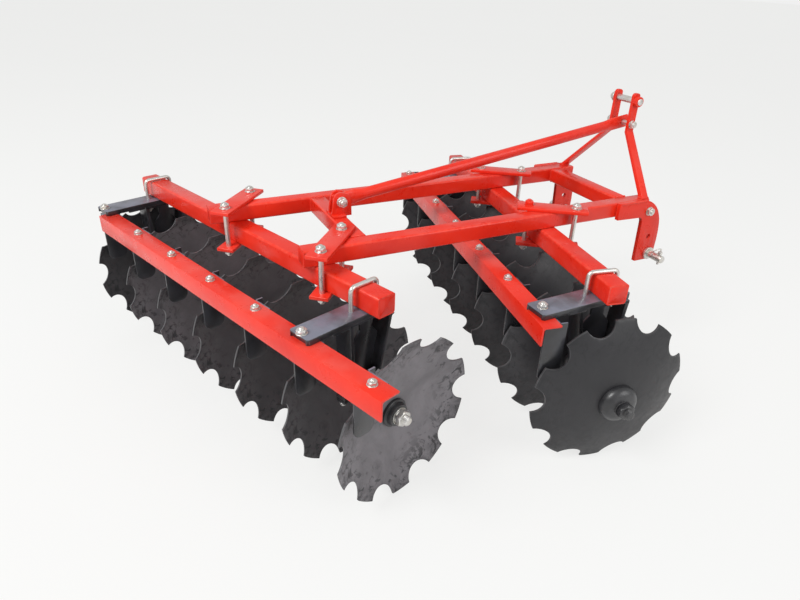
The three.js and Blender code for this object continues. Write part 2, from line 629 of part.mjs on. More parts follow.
function hitchPin(side) {
  const inner = RAIL_HALF_SPACING + RAIL_SIDE / 2 + FIT_GAP;
  const outer = inner + PLATE_THICKNESS;
  const along = (a, b, radius, sides = 16) => pinAlongY(HITCH_PIN_X, HITCH_PIN_Z,
    Math.min(side * a, side * b), Math.max(side * a, side * b), radius, sides);
  const shank = along(inner - 24, outer + HITCH_PIN_REACH, HITCH_PIN_RADIUS);
  const collar = along(outer + FIT_GAP, outer + PIN_COLLAR_WIDTH, PIN_COLLAR_RADIUS);
  const nut = along(inner - 18, inner - FIT_GAP, PIN_COLLAR_RADIUS - 2, 6);
  const linchHole = post(HITCH_PIN_X, side * (outer + HITCH_PIN_REACH - LINCH_HOLE_FROM_END),
    HITCH_PIN_Z - HITCH_PIN_RADIUS - 6, HITCH_PIN_Z + HITCH_PIN_RADIUS + 6, LINCH_HOLE_RADIUS);
  return cut(join(shank, collar, nut), linchHole);
}

// the mast leans forward up to its neck and stands upright above it
function mastX(z) {
  return MAST_FOOT_X + MAST_LEAN * (Math.min(z, MAST_NECK_Z) - RAIL_TOP);
}

function mastLeg(side) {
  const foot = RAIL_TOP + FIT_GAP;
  const ear = MAST_GAP / 2;
  const out = RAIL_HALF_SPACING + MAST_FOOT_OUT - (MAST_FOOT_SPREAD / 2) * MAST_LEG_THICKNESS;
  const t = MAST_LEG_THICKNESS;
  const outline = [[out, foot], [out + MAST_FOOT_SPREAD * t, foot], [ear + t, MAST_NECK_Z + t / 2],
    [ear + t, MAST_TOP_Z], [ear, MAST_TOP_Z], [ear, MAST_NECK_Z]];
  const shape = shapeOf((side > 0 ? outline : outline.map(([y, z]) => [-y, z]).reverse()));
  const geometry = extruded(shape, MAST_LEG_WIDTH);
  geometry.rotateX(Math.PI / 2);
  geometry.rotateZ(Math.PI / 2);
  const corners = geometry.getAttribute('position');
  for (let i = 0; i < corners.count; i += 1) {
    corners.setX(i, corners.getX(i) - MAST_LEG_WIDTH / 2 + mastX(corners.getZ(i)));
  }
  const reach = ear + t + 5;
  const holes = [[MAST_PIN_Z, MAST_PIN_RADIUS], [BRACE_FRONT_Z, BRACE_BOLT_RADIUS]].map(([z, radius]) =>
    pinAlongY(mastX(z), z, -reach, reach, radius + HOLE_GAP));
  return cut(solid(geometry), ...holes);
}

function mastPin() {
  const ear = MAST_GAP / 2 + MAST_LEG_THICKNESS;
  const x = mastX(MAST_PIN_Z);
  const shank = pinAlongY(x, MAST_PIN_Z, -ear - MAST_PIN_REACH, ear + MAST_PIN_REACH, MAST_PIN_RADIUS);
  const head = pinAlongY(x, MAST_PIN_Z, ear + FIT_GAP, ear + MAST_PIN_HEAD_WIDTH,
    MAST_PIN_HEAD_RADIUS);
  return join(shank, head);
}

function brace() {
  const frontX = mastX(BRACE_FRONT_Z);
  const run = frontX - BRACE_REAR_X;
  const rise = BRACE_FRONT_Z - BRACE_REAR_Z;
  const length = Math.hypot(run, rise);
  const half = BRACE_TONGUE / 2;
  const pipe = new THREE.CylinderGeometry(BRACE_RADIUS, BRACE_RADIUS, length - 2 * TONGUE_LENGTH, 20);
  pipe.rotateZ(Math.PI / 2);
  pipe.translate(length / 2, 0, 0);
  const tall = TONGUE_HALF_HEIGHT;
  const tongue = TONGUE_LENGTH + TONGUE_LAP;
  const ends = [
    box(-tall, tongue, -half, half, -tall, tall),
    box(length - tongue, length + tall, -half, half, -tall, tall),
  ];
  const holes = [0, length].map((x) => pinAlongY(x, 0, -30, 30, BRACE_BOLT_RADIUS + HOLE_GAP));
  const whole = cut(join(solid(pipe), ...ends), ...holes);
  const placing = new THREE.Matrix4().makeRotationY(-Math.atan2(rise, run));
  placing.setPosition(BRACE_REAR_X, 0, BRACE_REAR_Z);
  piece('mast_brace', whole, RED, placing);
}

function braceBolt(x, z, half) {
  const shank = pinAlongY(x, z, -half - BRACE_BOLT_TAIL, half + BRACE_BOLT_TAIL, BRACE_BOLT_RADIUS);
  const head = hexNutAlongY(x, z, -half - BRACE_HEAD_HEIGHT, -half - FIT_GAP, BRACE_BOLT_ACROSS);
  const nut = hexNutAlongY(x, z, half + FIT_GAP, half + BRACE_NUT_HEIGHT, BRACE_BOLT_ACROSS);
  return join(shank, head, nut);
}

function braceLug() {
  const inner = BRACE_TONGUE / 2 + FIT_GAP;
  const x0 = CROSS_REAR_START + LUG_INSET;
  const base = RAIL_TOP + FIT_GAP;
  const outline = [[x0, base], [BRACE_REAR_X + 34, base], [BRACE_REAR_X + 30, BRACE_REAR_Z + 14],
    [BRACE_REAR_X + 10, BRACE_REAR_Z + 30], [BRACE_REAR_X - 16, BRACE_REAR_Z + 28]];
  const ears = [plateXZ(outline, inner, inner + LUG_THICKNESS),
    plateXZ(outline, -inner - LUG_THICKNESS, -inner)];
  const halfFoot = inner + LUG_THICKNESS + LUG_FOOT_SPREAD;
  const foot = box(x0, CROSS_REAR_START + RAIL_SIDE - LUG_INSET, -halfFoot, halfFoot,
    base, base + LUG_FOOT_HEIGHT);
  const hole = pinAlongY(BRACE_REAR_X, BRACE_REAR_Z, -60, 60, BRACE_BOLT_RADIUS + HOLE_GAP);
  return cut(join(...ears, foot), hole);
}

// ---------- build everything ----------
const gangPlacing = (x, y, degrees) => new THREE.Matrix4()
  .makeRotationZ(THREE.MathUtils.degToRad(degrees)).setPosition(x, y, 0);
const frontPlacing = gangPlacing(FRONT_RIM_X, FRONT_RIM_Y, -GANG_ANGLE_FRONT);
const rearPlacing = gangPlacing(REAR_RIM_X, REAR_RIM_Y, GANG_ANGLE_REAR);

gang('front', 1, frontPlacing);
gang('rear', -1, rearPlacing);
gangFrame('front', 1, frontPlacing, FRONT_BEAM_START, FRONT_BEAM_LEAD, FRONT_HANGER_AT,
  FRONT_SCRAPER_BOLT, FRONT_BAR_LENGTH, { tail: FRONT_ARM_TAIL, turn: FRONT_ARM_TURN });
gangFrame('rear', -1, rearPlacing, REAR_BEAM_START, REAR_BEAM_LEAD, REAR_HANGER_AT,
  REAR_SCRAPER_BOLT, REAR_BAR_LENGTH, { tail: REAR_ARM_TAIL, turn: REAR_ARM_TURN });

const railZ = (RAIL_BOTTOM + RAIL_TOP) / 2;
piece('right_rail', tubeAlongX(RIGHT_RAIL_REAR, RAIL_FRONT, -RAIL_HALF_SPACING, railZ, RAIL_SIDE,
  RAIL_CORNER), RED);
piece('left_rail', tubeAlongX(LEFT_RAIL_REAR, RAIL_FRONT, RAIL_HALF_SPACING, railZ, RAIL_SIDE,
  RAIL_CORNER), RED);
const inside = RAIL_HALF_SPACING - RAIL_SIDE / 2 - FIT_GAP;
piece('front_cross_tube', tubeAlongY(-inside, inside, CROSS_FRONT_START + RAIL_SIDE / 2, railZ, RAIL_SIDE,
  RAIL_CORNER), RED);
piece('rear_cross_tube', tubeAlongY(-inside, inside, CROSS_REAR_START + RAIL_SIDE / 2, railZ, RAIL_SIDE,
  RAIL_CORNER), RED);

// where the centre line of a gang beam passes over or under a rail
function crossing(placing, lead, railY) {
  const a = new THREE.Vector3(lead, 0, 0).applyMatrix4(placing);
  const b = new THREE.Vector3(lead, BEAM_LENGTH, 0).applyMatrix4(placing);
  return a.x + ((b.x - a.x) * (railY - a.y)) / (b.y - a.y);
}
[['right', -RAIL_HALF_SPACING], ['left', RAIL_HALF_SPACING]].forEach(([side, y]) => {
  const front = crossing(frontPlacing, FRONT_BEAM_LEAD, y) + CLAMP_AHEAD.front[side];
  clamp(`front_clamp_${side}`, front, y, FRONT_CLAMP_HALF, FRONT_CLAMP_TURN);
  const rear = crossing(rearPlacing, REAR_BEAM_LEAD, y) + CLAMP_AHEAD.rear[side];
  clamp(`rear_clamp_${side}`, rear, y, REAR_CLAMP_HALF, REAR_CLAMP_TURN);
});

piece('hitch_plate_right', hitchPlate(-1), RED);
piece('hitch_plate_left', hitchPlate(1), RED);
piece('hitch_pin_right', hitchPin(-1), ZINC);
piece('hitch_pin_left', hitchPin(1), ZINC);
piece('mast_leg_right', mastLeg(-1), RED);
piece('mast_leg_left', mastLeg(1), RED);
piece('mast_pin', mastPin(), ZINC);
brace();
piece('brace_lug', braceLug(), RED);
piece('brace_bolt_rear', braceBolt(BRACE_REAR_X, BRACE_REAR_Z,
  BRACE_TONGUE / 2 + FIT_GAP + LUG_THICKNESS), ZINC);
piece('brace_bolt_front', braceBolt(mastX(BRACE_FRONT_Z), BRACE_FRONT_Z,
  MAST_GAP / 2 + MAST_LEG_THICKNESS), ZINC);

// bring the middle of the footprint to the origin and the lowest point to the ground
const bounds = new THREE.Box3().setFromObject(group);
const middle = bounds.getCenter(new THREE.Vector3());
group.children.forEach((mesh) => mesh.geometry.translate(-middle.x, -middle.y, -bounds.min.z));

export default group;
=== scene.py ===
"""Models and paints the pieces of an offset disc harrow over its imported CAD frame.

Lengths are metres, +X is forward to the tractor, +Y is left and +Z is up.
"""
import json
import math

import bmesh
import bpy
from bpy.props import FloatProperty, FloatVectorProperty, IntProperty, PointerProperty
from mathutils import Matrix, Vector


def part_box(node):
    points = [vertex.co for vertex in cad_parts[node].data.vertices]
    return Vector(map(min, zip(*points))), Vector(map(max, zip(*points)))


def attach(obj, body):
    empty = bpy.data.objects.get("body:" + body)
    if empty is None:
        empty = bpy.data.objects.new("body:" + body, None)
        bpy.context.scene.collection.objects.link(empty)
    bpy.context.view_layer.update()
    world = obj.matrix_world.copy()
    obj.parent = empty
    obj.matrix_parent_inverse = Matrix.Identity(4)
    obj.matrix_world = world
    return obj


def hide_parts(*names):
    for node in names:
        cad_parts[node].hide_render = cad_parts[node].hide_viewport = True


bl_info = {
    "name": "Disc Harrow",
    "version": (1, 0, 0),
    "blender": (4, 5, 0),
    "location": "3D View > Sidebar > Harrow",
    "description": "Models and paints an offset disc harrow over its CAD frame",
    "category": "Add Mesh",
}

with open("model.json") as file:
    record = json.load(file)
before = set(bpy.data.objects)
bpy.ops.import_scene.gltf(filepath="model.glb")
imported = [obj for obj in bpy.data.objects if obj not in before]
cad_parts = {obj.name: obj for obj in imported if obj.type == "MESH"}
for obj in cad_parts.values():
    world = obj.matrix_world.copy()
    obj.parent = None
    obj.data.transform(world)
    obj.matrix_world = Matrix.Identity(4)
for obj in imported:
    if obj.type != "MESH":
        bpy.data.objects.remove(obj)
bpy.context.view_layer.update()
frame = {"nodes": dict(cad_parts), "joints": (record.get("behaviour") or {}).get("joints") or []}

SEAT = 0.0003  # gap that two seated faces keep

# The hitch and mast are drawn in a frame of their own, which the right-hand rail's front end places.
RAIL_SPACING = 0.214  # from the middle plane to the middle of a rail
RAIL_FRONT, RAIL_UNDER, RAIL_TOP = 0.668, 0.6013, 0.6553
RAIL_LOW, RAIL_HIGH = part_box("right_rail")
DRAWING = Matrix.Translation((
    RAIL_HIGH.x - RAIL_FRONT,
    (RAIL_LOW.y + RAIL_HIGH.y) / 2 + RAIL_SPACING,
    RAIL_LOW.z - RAIL_UNDER,
))


class HarrowSizes(bpy.types.PropertyGroup):
    """Sizes of the harrow's pieces."""

    disc_radius: FloatProperty(name="Disc radius", description="Centre to tooth tip",
                               default=0.255, unit="LENGTH")
    disc_thickness: FloatProperty(name="Disc thickness", description="Sheet the discs are pressed from",
                                  default=0.005, unit="LENGTH")
    dish_radius: FloatProperty(name="Dish radius", description="Radius of the sphere of the dish",
                               default=0.600, unit="LENGTH")
    disc_count: IntProperty(name="Discs per gang", description="Discs on each gang", default=7)
    disc_spacing: FloatProperty(name="Disc spacing", description="Rim to rim along the gang",
                                default=0.238, unit="LENGTH")
    notch_count: IntProperty(name="Notches", description="Notches round a disc", default=10)
    notch_depth: FloatProperty(name="Notch depth", description="Depth of a notch from the rim",
                               default=0.037, unit="LENGTH")
    notch_radius: FloatProperty(name="Notch radius", description="Radius of a notch's round floor",
                                default=0.047, unit="LENGTH")
    tooth_turn: FloatProperty(name="Tooth turn", description="Turn of the discs on their shafts",
                              default=math.radians(2), unit="ROTATION")
    flange_radius: FloatProperty(name="Spool flange", description="Radius of the spool ends",
                                 default=0.046, unit="LENGTH")
    spool_radius: FloatProperty(name="Spool body", description="Radius of the spool between its ends",
                                default=0.031, unit="LENGTH")
    shaft_side: FloatProperty(name="Gang shaft", description="Side of the square gang shaft",
                              default=0.030, unit="LENGTH")
    dome_radius: FloatProperty(name="Domed washer", description="Radius of the domed end washer",
                               default=0.060, unit="LENGTH")
    dome_height: FloatProperty(name="Dome height", description="Height of the domed end washer",
                               default=0.030, unit="LENGTH")
    washer_radius: FloatProperty(name="Clamp washer", description="Radius of the other end washer",
                                 default=0.044, unit="LENGTH")
    washer_height: FloatProperty(name="Clamp washer height", description="Height of that washer",
                                 default=0.026, unit="LENGTH")
    beam_corner: FloatProperty(name="Beam corner", description="Corner radius of the gang beams",
                               default=0.008, unit="LENGTH")
    rail_corner: FloatProperty(name="Rail corner", description="Corner radius of the rails",
                               default=0.007, unit="LENGTH")
    bar_side: FloatProperty(name="Scraper bar", description="Side of the scraper bar's angle iron",
                            default=0.060, unit="LENGTH")
    bar_thickness: FloatProperty(name="Bar thickness", description="Thickness of that angle iron",
                                 default=0.006, unit="LENGTH")
    bar_from_beam: FloatProperty(name="Bar from beam", description="Beam centre to the bar's face",
                                 default=0.253, unit="LENGTH")
    blade_width: FloatProperty(name="Scraper width", description="Width of a scraper blade",
                               default=0.070, unit="LENGTH")
    blade_drop: FloatProperty(name="Scraper drop", description="Blade below the bar's underside",
                              default=0.195, unit="LENGTH")
    arm_plate: FloatProperty(name="Arm plate", description="Thickness of the bracket arms",
                             default=0.018, unit="LENGTH")
    hanger_plate: FloatProperty(name="Hanger plate", description="Plate the hangers are made from",
                                default=0.012, unit="LENGTH")
    u_bolt_radius: FloatProperty(name="U-bolt", description="Radius of the U-bolt's round bar",
                                 default=0.007, unit="LENGTH")
    u_bolt_bend: FloatProperty(name="U-bolt bend", description="Radius of its bends",
                               default=0.014, unit="LENGTH")
    strap_width: FloatProperty(name="Strap width", description="Width of the clamp straps",
                               default=0.066, unit="LENGTH")
    strap_thickness: FloatProperty(name="Strap thickness", description="Thickness of the straps",
                                   default=0.012, unit="LENGTH")


class HarrowColours(bpy.types.PropertyGroup):
    """Colours of the harrow's finishes."""

    red: FloatVectorProperty(name="Red enamel", description="Paint of the frame", subtype="COLOR",
                             size=4, min=0, max=1, default=(0.84, 0.031, 0.011, 1))
    deep_red: FloatVectorProperty(name="Deep red", description="Thick places of the enamel",
                                  subtype="COLOR", size=4, min=0, max=1,
                                  default=(0.70, 0.018, 0.007, 1))
    black: FloatVectorProperty(name="Black enamel", description="Paint of the hangers and arms",
                               subtype="COLOR", size=4, min=0, max=1,
                               default=(0.016, 0.016, 0.018, 1))
    disc_dark: FloatVectorProperty(name="Disc dark", description="Darker paint of the discs",
                                   subtype="COLOR", size=4, min=0, max=1,
                                   default=(0.014, 0.014, 0.016, 1))
    disc_pale: FloatVectorProperty(name="Disc pale", description="Rubbed paint of the discs",
                                   subtype="COLOR", size=4, min=0, max=1,
                                   default=(0.20, 0.188, 0.202, 1))
    # The disc edges' colour stands partly for bare ground steel and partly for a painted highlight.
    edge_steel_and_highlight: FloatVectorProperty(name="Ground edge", description="Bare steel of the disc edges",
                                    subtype="COLOR", size=4, min=0, max=1,
                                    default=(0.11, 0.11, 0.115, 1))
    zinc: FloatVectorProperty(name="Zinc", description="Plating of bolts and pins", subtype="COLOR",
                              size=4, min=0, max=1, default=(0.80, 0.79, 0.77, 1))
    floor: FloatVectorProperty(name="Floor", description="Studio floor", subtype="COLOR", size=4,
                               min=0, max=1, default=(0.84, 0.84, 0.83, 1))


# ---------- working by hand ----------
def clear():
    """Leaves edit mode and selects nothing."""
    held = bpy.context.object
    if held and held.mode != "OBJECT":
        bpy.ops.object.mode_set(mode="OBJECT")
    bpy.ops.object.select_all(action="DESELECT")


def hold(piece):
    """Selects one piece alone and makes it active."""
    clear()
    piece.select_set(True)
    bpy.context.view_layer.objects.active = piece


def taken(name):
    """Names the new primitive and puts its place into its mesh."""
    bpy.ops.object.transform_apply(location=True, rotation=True, scale=True)
    piece = bpy.context.object
    piece.name = name
    piece.data.name = name
    return piece


def pick(piece, kind, test):
    """Selects in edit mode the corners, edges or faces that pass a test."""
    if piece.mode != "EDIT":
        hold(piece)
        bpy.ops.object.mode_set(mode="EDIT")
    bpy.ops.mesh.select_mode(type=kind)
    bpy.ops.mesh.select_all(action="DESELECT")
    shape = bmesh.from_edit_mesh(piece.data)
    for item in {"VERT": shape.verts, "EDGE": shape.edges, "FACE": shape.faces}[kind]:
        if test(item):
            item.select_set(True)
    shape.select_flush_mode()
    bmesh.update_edit_mesh(piece.data)


def modified(piece, kind, **settings):
    """Adds a modifier with these settings and applies it."""
    hold(piece)
    bpy.ops.object.modifier_add(type=kind)
    modifier = piece.modifiers[-1]
    for key, value in settings.items():
        setattr(modifier, key, value)
    bpy.ops.object.modifier_apply(modifier=modifier.name)
    return piece


def softened(piece, width=0.0012, steps=2, limit=40):
    """Rounds every sharp edge a little."""
    return modified(piece, "BEVEL", width=width, segments=steps, limit_method="ANGLE",
                    angle_limit=math.radians(limit), use_clamp_overlap=True)


def joined(name, pieces):
    """Joins pieces into one object under a new name."""
    clear()
    for piece in pieces:
        piece.select_set(True)
    bpy.context.view_layer.objects.active = pieces[0]
    bpy.ops.object.join()
    whole = bpy.context.object
    whole.name = name
    whole.data.name = name
    return whole


def carved(piece, cutter, operation="DIFFERENCE"):
    """Cuts a shape out of a piece, keeps what the two share, or merges them."""
    modified(piece, "BOOLEAN", operation=operation, solver="EXACT", object=cutter)
    bpy.data.objects.remove(cutter)
    return piece


def moved(piece, place):
    """Moves a piece by a matrix and puts the move into its mesh."""
    hold(piece)
    piece.matrix_world = place @ piece.matrix_world
    bpy.ops.object.transform_apply(location=True, rotation=True, scale=True)
    return piece


def copied(piece, name, place):
    """A copy with its own mesh, moved by a matrix."""
    hold(piece)
    bpy.ops.object.duplicate(linked=False)
    copy = bpy.context.object
    copy.name = name
    copy.data.name = name
    return moved(copy, place)


def spread(piece, name, places):
    """The piece at the first place and a copy at each of the others, joined."""
    copies = [copied(piece, name, place) for place in places[1:]]
    return joined(name, [moved(piece, places[0]), *copies])


def block(name, low, high, edge=0.0012, steps=2):
    """A rectangular bar between two corners, with softened edges."""
    low, high = Vector(low), Vector(high)
    clear()
    bpy.ops.mesh.primitive_cube_add(size=1, location=(low + high) / 2, scale=high - low)
    piece = taken(name)
    return softened(piece, edge, steps) if edge else piece


def tube(name, low, high, axis, corner):
    """A square tube with rounded corners and a welded cap in each end."""
    piece = block(name, low, high, edge=0)
    pick(piece, "EDGE", lambda e: abs((e.verts[0].co - e.verts[1].co)[axis]) > 0.1)
    bpy.ops.mesh.bevel(offset=corner, segments=6, affect="EDGES")
    pick(piece, "FACE", lambda f: abs(f.normal[axis]) > 0.9)
    bpy.ops.mesh.inset(thickness=0.0035, depth=0, use_individual=True)
    bpy.ops.mesh.inset(thickness=0.0012, depth=-0.0008, use_individual=True)
    bpy.ops.mesh.inset(thickness=0.0012, depth=0.0008, use_individual=True)
    bpy.ops.object.mode_set(mode="OBJECT")
    return softened(piece, 0.001, 2, 60)


def rod(name, start, end, radius, sides=24, edge=0.0012):
    """A round bar from one point to another."""
    start, end = Vector(start), Vector(end)
    run = end - start
    clear()
    bpy.ops.mesh.primitive_cylinder_add(vertices=sides, radius=radius, depth=run.length,
                                        location=(start + end) / 2,
                                        rotation=run.to_track_quat("Z", "Y").to_euler())
    piece = taken(name)
    return softened(piece, edge, 2) if edge else piece


def traced(name, points):
    """Draws a line of corners in edit mode, each extruded from the one before."""
    points = [Vector(point) for point in points]
    clear()
    bpy.ops.mesh.primitive_plane_add(size=0.002, location=points[0])
    piece = taken(name)
    bpy.ops.object.mode_set(mode="EDIT")
    bpy.ops.mesh.select_mode(type="VERT")
    bpy.ops.mesh.select_all(action="SELECT")
    bpy.ops.mesh.merge(type="CENTER")
    for before, after in zip(points, points[1:]):
        bpy.ops.mesh.extrude_vertices_move(TRANSFORM_OT_translate={"value": after - before})
    bpy.ops.mesh.select_all(action="SELECT")
    return piece


def plate(name, outline, thickness, edge=0.0012, steps=2, cutters=()):
    """A flat plate: an outline filled, extruded by a vector, cut and softened."""
    piece = traced(name, outline)
    bpy.ops.mesh.edge_face_add()
    bpy.ops.mesh.select_all(action="SELECT")
    bpy.ops.mesh.extrude_region_move(TRANSFORM_OT_translate={"value": Vector(thickness)})
    bpy.ops.mesh.select_all(action="SELECT")
    bpy.ops.mesh.normals_make_consistent(inside=False)
    bpy.ops.object.mode_set(mode="OBJECT")
    for cutter in cutters:
        carved(piece, cutter)
    return softened(piece, edge, steps) if edge else piece


def turned(name, profile, steps=48):
    """Spins a profile of (radius, height) pairs about the Z axis."""
    piece = traced(name, [(radius, 0, height) for radius, height in profile])
    bpy.ops.mesh.spin(steps=steps, angle=math.tau, center=(0, 0, 0), axis=(0, 0, 1))
    bpy.ops.mesh.select_all(action="SELECT")
    bpy.ops.mesh.remove_doubles(threshold=0.00002)
    bpy.ops.mesh.normals_make_consistent(inside=False)
    bpy.ops.object.mode_set(mode="OBJECT")
    return piece


def arc(centre, radius, start, end, count):
    """Points on an arc, in a plane, from one angle to another in degrees."""
    steps = [math.radians(start + (end - start) * k / (count - 1)) for k in range(count)]
    return [(centre[0] + radius * math.cos(a), centre[1] + radius * math.sin(a)) for a in steps]


# ---------- fasteners, drawn along Z ----------
# A bolt's end is given by its nut's width and height, its own radius and its reach past the nut.
SCRAPER_BOLT, ARM_BOLT = (0.0225, 0.009, 0.006, 0.005), (0.026, 0.0105, 0.008, 0.005)
BEARING_BOLT, HITCH_BOLT = (0.017, 0.008, 0.005, 0.004), (0.027, 0.012, 0.008, 0.004)
CLAMP_HEAD, CLAMP_TAIL = (0.027, 0.0125, 0.008, 0.005), (0.027, 0.0125, 0.008, 0.008)


def hexagon(name, across, height, bore=0):
    """A nut or bolt head standing on z = 0, with its corners turned off."""
    clear()
    bpy.ops.mesh.primitive_cylinder_add(vertices=6, radius=across / math.sqrt(3), depth=height,
                                        location=(0, 0, height / 2))
    piece = taken(name)
    full, face, fall = 0.6 * across, 0.475 * across, 0.11 * across
    barrel = turned("barrel", [(0, 0), (face, 0), (full, fall), (full, height - fall),
                               (face, height), (0, height)], 36)
    carved(piece, barrel, "INTERSECT")
    if bore:
        carved(piece, rod("bore", (0, 0, -0.01), (0, 0, height + 0.01), bore, edge=0))
    return softened(piece, 0.0004, 1)


def thread(name, radius, low, high, pitch=0.002, sides=20):
    """A bolt's end, ridged like a thread, with a chamfered tip at the far end."""
    rings = [(0, low), (radius, low)]
    height, out = low, False
    step = math.copysign(pitch / 2, high - low)
    while abs(high - height) > 2.2 * abs(step):
        height += step
        rings.append((radius if out else 0.9 * radius, height))
        out = not out
    rings += [(0.86 * radius, high - step), (0.7 * radius, high), (0, high)]
    return turned(name, rings, sides)


def washer(name, outer, inner, height):
    """A flat ring standing on z = 0."""
    piece = turned(name, [(inner, 0), (outer, 0), (outer, height), (inner, height), (inner, 0)], 28)
    return softened(piece, 0.0004, 1, 50)


def stud_end(name, across, height, radius, reach, base=0.0):
    """A washer, a nut and the bolt's threaded end, standing on z = base."""
    parts = [
        washer(name, 0.62 * across, 0.98 * radius, 0.0025),
        moved(hexagon(name, across, height), Matrix.Translation((0, 0, 0.0026))),
        thread(name, radius, height, height + 0.0026 + reach),
    ]
    return moved(joined(name, parts), Matrix.Translation((0, 0, base)))


def weld(name, start, end, radius=0.0035):
    """A weld bead: a run of overlapping ripples between two points."""
    start, end = Vector(start), Vector(end)
    run = end - start
    count = max(3, round(run.length / 0.005))
    rings = [(0, 0)]
    for k in range(count):
        at = run.length * (k + 0.5) / count
        rings.append((radius * 0.78, run.length * k / count + 0.0003))
        rings.append((radius, at))
    rings += [(radius * 0.6, run.length - 0.0002), (0, run.length)]
    piece = turned(name, rings, 8)
    place = Matrix.Translation(start) @ run.to_track_quat("Z", "Y").to_matrix().to_4x4()
    return moved(piece, place)


# ---------- putting a piece in place ----------
def sizes():
    return bpy.context.scene.harrow_sizes


def gang_place(which):
    """The gang's own frame: axle on Y, right-hand rim plane at y = 0, +X ahead, floor at z = 0."""
    joint = next(j for j in frame["joints"] if j["child"] == which + "_gang")
    axis = Vector(joint["axis"])
    back = (sizes().disc_count - 1) * sizes().disc_spacing / 2
    start = Vector(joint["pos_m"]) - back * axis
    turn = Matrix.Rotation(math.atan2(-axis.x, axis.y), 4, "Z")
    return Matrix.Translation((start.x, start.y, 0)) @ turn


def local_box(node, place):
    """Lowest and highest corner of a CAD node in another frame."""
    back = place.inverted()
    spots = [back @ corner.co for corner in frame["nodes"][node].data.vertices]
    low = Vector(min(spot[i] for spot in spots) for i in range(3))
    high = Vector(max(spot[i] for spot in spots) for i in range(3))
    return low, high


def mark_edges(piece):
    """Stores 1 on the corners of narrow rounded edges, and 0 where a broad face begins."""
    mesh = piece.data
    broad = set()
    for face in mesh.polygons:
        ring = [mesh.vertices[v].co for v in face.vertices]
        longest = max((a - b).length for a, b in zip(ring, ring[1:] + ring[:1]))
        if face.area / max(longest, 1e-6) > 0.003:
            broad.update(face.vertices)
    values = [0.0 if k in broad else 1.0 for k in range(len(mesh.vertices))]
    mesh.attributes.new("edge", "FLOAT", "POINT").data.foreach_set("value", values)


def settled(piece, body, material, place=None, nodes=(), smooth=35):
    """Finishes a piece: place, smooth shading, edge marks for wear and the red's painted edge highlight,
    material, and the body it rides on.
    """
    if place is not None:
        moved(piece, place)
    hold(piece)
    bpy.ops.object.shade_smooth_by_angle(angle=math.radians(smooth))
    mark_edges(piece)
    piece.data.materials.clear()
    piece.data.materials.append(material)
    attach(piece, body)
    if nodes:
        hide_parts(*nodes)
    return piece


# ---------- materials ----------
def wired(tree, kind, **values):
    """Adds a node; a value that is a socket is linked, and any other is set."""
    made = tree.nodes.new(kind)
    for key, value in values.items():
        if key.startswith("set_"):
            setattr(made, key[4:], value)
            continue
        target = made.inputs[int(key[1:])] if key[1:].isdigit() else made.inputs[key.replace("_", " ")]
        if isinstance(value, bpy.types.NodeSocket):
            tree.links.new(value, target)
        else:
            target.default_value = value
    return made


def maths(tree, operation, first, second=0.0):
    return wired(tree, "ShaderNodeMath", set_operation=operation, i0=first, i1=second).outputs[0]


def ranged(tree, value, low, high, to_low=0.0, to_high=1.0):
    made = wired(tree, "ShaderNodeMapRange", Value=value, From_Min=low, From_Max=high,
                 To_Min=to_low, To_Max=to_high)
    return made.outputs["Result"]


def noise(tree, place, scale, detail=4.0, rough=0.55, distortion=0.0):
    made = wired(tree, "ShaderNodeTexNoise", Vector=place, Scale=scale, Detail=detail,
                 Roughness=rough, Distortion=distortion)
    return made.outputs["Fac"]


def mixed(tree, share, first, second):
    made = tree.nodes.new("ShaderNodeMix")
    made.data_type = "RGBA"
    for target, value in ((made.inputs[0], share), (made.inputs[6], first), (made.inputs[7], second)):
        if isinstance(value, bpy.types.NodeSocket):
            tree.links.new(value, target)
        else:
            target.default_value = value
    return made.outputs[2]


def started(name):
    """A new material with its shader and its place on the object."""
    material = bpy.data.materials.new(name)
    material.use_nodes = True
    tree = material.node_tree
    shader = tree.nodes["Principled BSDF"]
    place = tree.nodes.new("ShaderNodeTexCoord").outputs["Object"]
    return material, tree, shader, place


def painted_top_light_share(tree, place, amount, low=0.45, high=0.75):
    """Where painted light from above lies: on faces that look up, in patches."""
    normal = tree.nodes.new("ShaderNodeNewGeometry").outputs["Normal"]
    up = wired(tree, "ShaderNodeSeparateXYZ", Vector=normal).outputs["Z"]
    patches = ranged(tree, noise(tree, place, 9.0, 5.0), low, high)
    return maths(tree, "MULTIPLY", maths(tree, "MULTIPLY", ranged(tree, up, 0.3, 1.0), patches), amount)


def stored(tree, name):
    """Reads a value stored on the mesh, such as how near an edge is."""
    node = tree.nodes.new("ShaderNodeAttribute")
    node.attribute_name = name
    return node


def bumped(tree, shader, *layers):
    """Stacks bump layers of (height, strength, distance) on the shader's normal."""
    normal = None
    for height, strength, distance in layers:
        made = wired(tree, "ShaderNodeBump", Height=height, Strength=strength, Distance=distance)
        if normal is not None:
            tree.links.new(normal, made.inputs["Normal"])
        normal = made.outputs["Normal"]
    tree.links.new(normal, shader.inputs["Normal"])


# The pale red on the next line lightens the red's edges: partly rubbed paint, partly a painted highlight.
BRIGHT_RED, RUBBED_RED_AND_HIGHLIGHT = (0.86, 0.060, 0.024, 1), (0.88, 0.16, 0.10, 1)
# The pale pink on the next line is painted top light for the red enamel's upward faces.
CHIP_BROWN, PAINTED_TOP_PINK = (0.16, 0.06, 0.05, 1), (0.62, 0.50, 0.44, 1)
# The pale blue on the next line is a painted sky sheen for the black enamel's upward faces.
COLD_BLACK, RUBBED_GREY, PAINTED_SKY_SHEEN = (0.034, 0.035, 0.044, 1), (0.16, 0.155, 0.16, 1), (0.27, 0.28, 0.36, 1)
CAST_SKIN, CAST_RUBBED = (0.040, 0.040, 0.044, 1), (0.13, 0.125, 0.12, 1)
ZINC_YELLOW, ZINC_CRYSTAL = (0.70, 0.66, 0.56, 1), (0.52, 0.53, 0.56, 1)


